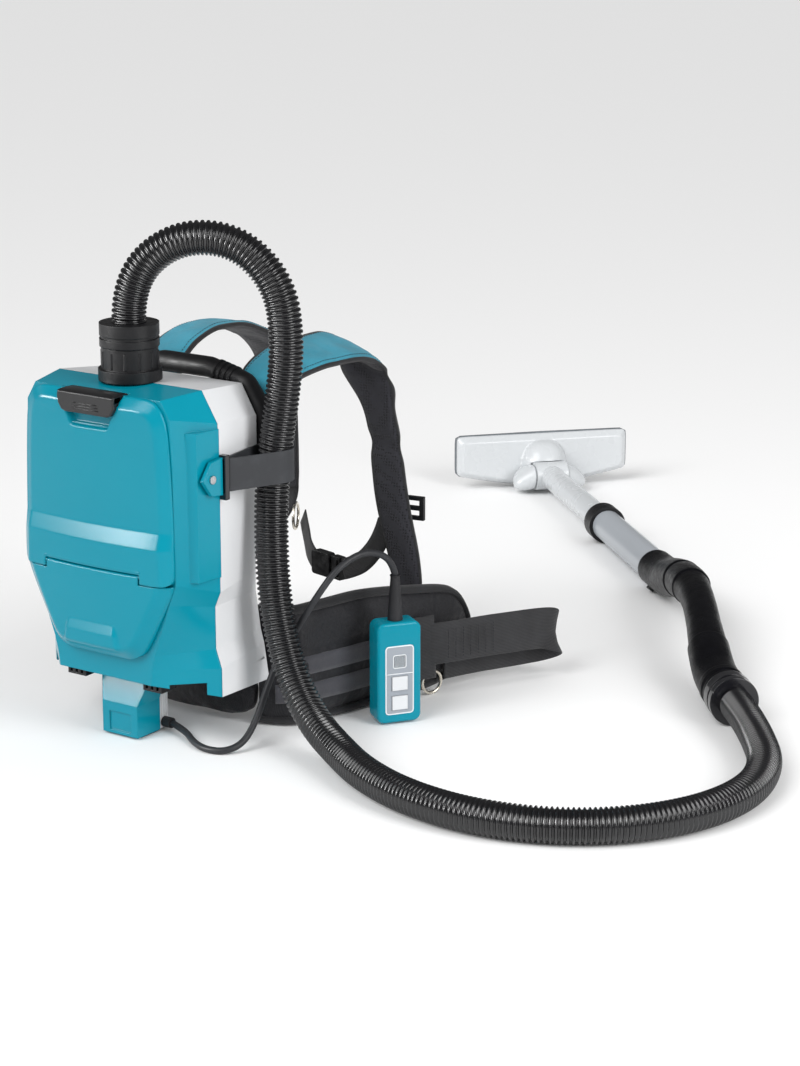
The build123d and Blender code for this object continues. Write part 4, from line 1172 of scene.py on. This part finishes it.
def nozzle_height(x, z, depth):
    """Nozzle hood: thin wide wings, a domed neck in the middle cut round the wand's barrel, and a low
    flare; the two lobes below it are pieces of their own.
    """
    rise = edge_rise(depth, HOOD_RISE, 7.0)
    arch = 1 - (abs(x) / 33.0) ** 2.6 - (max(0.0, z - 28) / 39.0) ** 2.2
    dome = 35.0 * max(0.0, arch) ** 0.55
    if abs(x) < BARREL_HALF:
        level = (z - WAND_START.z * 1000) / BARREL_R
        barrel = BARREL_AT - BARREL_R * math.sqrt(max(0.0, 1 - level ** 2))
        dome = min(dome, max(0.0, barrel - HOOD_RISE))
    flare = math.exp(-(x / 52.0) ** 2) * eased(z, 70, 22) * 5.0
    return max(0.2, rise + max(dome, flare) * min(1.0, depth / 4.0))


def make_nozzle_hood():
    """Shell of the nozzle, open at its back."""
    mesh = panel_mesh("nozzle_hood", NOZZLE_OUTLINE, NOZZLE_SOFT, nozzle_height, nozzle_place, (220, 110))
    hood = add_piece("nozzle_hood", mesh, "nozzle", ["nozzle_plastic"], ["nozzle_body"])
    thicken(hood, 0.0025, 1 if hood_faces_back(mesh) else -1)


def make_nozzle_rim():
    """Grey lip round the hood's edge."""
    edges = half_planes(NOZZLE_OUTLINE)
    outline = []
    for turn in turns(160):
        x, z = math.cos(turn), math.sin(turn)
        edge = reach(lambda out: inside(edges, x * out, HOOD_MID + z * out, NOZZLE_SOFT) > 0, 0.0, 200.0)
        outline.append((x * edge, HOOD_MID + z * edge))
    rings = []
    for grow, out in ((0.1, 1.6), (1.4, 1.2), (1.7, -0.8), (1.0, -5.2), (-4.5, -5.6), (-6.0, -4.0),
                      (-6.0, 0.6), (0.1, 1.6)):
        ring = []
        for x, z in outline:
            scale = 1 + grow / math.hypot(x, z - HOOD_MID)
            ring.append(nozzle_place(x * scale, max(0.4, HOOD_MID + (z - HOOD_MID) * scale), out))
        rings.append(ring)
    add_piece("nozzle_rim", skin("nozzle_rim", rings, caps=False), "nozzle", ["lip_rubber"],
              ["nozzle_lip"])


def make_nozzle_lobes():
    """Fork that the wand's barrel turns in: a lobe on each side of it."""
    lobe_r, steps = 15.5, 16
    for side in (-1, 1):
        rings = []
        for step in range(steps + 1):
            share = step / steps
            across = 22.3 + 29.0 * share
            size = min((1 - share ** 2.6) ** 0.5 + 0.05, 0.9 + 3 * share) * (1 - 0.22 * share)
            drop = 10.0 * share ** 0.8
            ring = []
            for turn in turns(32):
                back = math.cos(turn) * lobe_r * size
                up = math.sin(turn) * lobe_r * size
                if back > 0:
                    up *= 1 + share * 0.9 * math.cos(turn) * (up > 0)
                    back *= 2.4
                up -= drop
                ring.append(along_wand(NECK_AT + back / 1000, side * across / 1000, up / 1000))
            rings.append(ring)
        ear = skin(f"nozzle_ear_{'lr'[side > 0]}", rings)
        add_piece(ear.name, ear, "nozzle", ["nozzle_plastic"])


def hood_faces_back(mesh):
    """Whether the skin's faces point away from the grip."""
    return sum(f.normal.dot(WAND_DIR) for f in mesh.polygons) > 0


# ---- remote switch ------------------------------------------------------------------------
def on_box(x, z, out):
    """Point on the switch box: x across, z up from its middle, out in front of the panel; millimetres."""
    low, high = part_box("switch_case_front")
    centre = Vector((*BOX_AT, (low.z + high.z) / 2))
    local = Vector((x, -BOX_FRONT - out, z)) / 1000
    return centre + Matrix.Rotation(BOX_YAW, 3, "Z") @ local


def rounded_frame(name, x_half, z_low, z_high, radius, width, out, body, finish):
    """Raised rounded-rectangle line on the switch box's panel."""
    rings = []
    for grow, lift in ((0, -0.3), (0, 0.25), (0.3, 0.4), (width - 0.3, 0.4), (width, 0.25), (width, -0.3)):
        ring = []
        for corner, (sx, sz) in enumerate(((1, 1), (-1, 1), (-1, -1), (1, -1))):
            cx = sx * (x_half - radius)
            cz = (z_high - radius) if sz > 0 else (z_low + radius)
            for step in range(7):
                turn = math.pi / 2 * (corner + step / 6)
                reach_x, reach_z = (radius - grow) * math.cos(turn), (radius - grow) * math.sin(turn)
                ring.append(on_box(cx + reach_x, cz + reach_z, out + lift))
        rings.append(ring)
    return add_piece(name, skin(name, rings, caps=False), body, [finish])


def make_switch_marks():
    """White border of the panel, the line between its fields and the indicator's outline."""
    rounded_frame("panel_border", 15.6, -44.6, 29.6, 4.0, 1.3, 0.1, ROOT, "panel_edge")
    rounded_frame("lens_border", 7.4, 5.2, 19.8, 2.4, 0.9, 0.5, ROOT, "panel_edge")
    line = [on_box(x, -0.6, 0.55) for x in (-14.4, -5, 5, 14.4)]
    bar = skin("panel_line", tube_rings(line, lambda gone: 0.0005, 8))
    add_piece("panel_line", bar, ROOT, ["panel_edge"])


# ---- the whole ----------------------------------------------------------------------------
make_camera()
MATERIALS = make_materials()
make_hose()
make_cable()
make_studio()
dress_cad(MATERIALS)
padded_strap("shoulder_strap_r", RIGHT_STRAP, 1, ["shoulder_strap_right"], (5.4, 8.2))
padded_strap("shoulder_strap_l", LEFT_STRAP, -1, ["shoulder_strap_left"], (6.4,))
make_wing(1, "belt_wing_r", ["belt_wing_right"])
make_wing(-1, "belt_wing_l", ["belt_wing_left"])
make_flat_pad("back_cushion", "back_pad", "spacer_mesh", (0.25, 0.5, 0.75))
make_flat_pad("belt_cushion", "belt_centre_pad", "pad_fabric", (0.33, 0.67), lean=0.019)
make_waist_webbing()
make_strap_tails()
make_chest_webbings()
make_grip()
make_lid()
make_latch_housing()
make_cover()
make_latch_skirt()
make_latch_plate()
make_latch_ribs()
make_nozzle_hood()
make_nozzle_rim()
make_nozzle_lobes()
make_switch_marks()
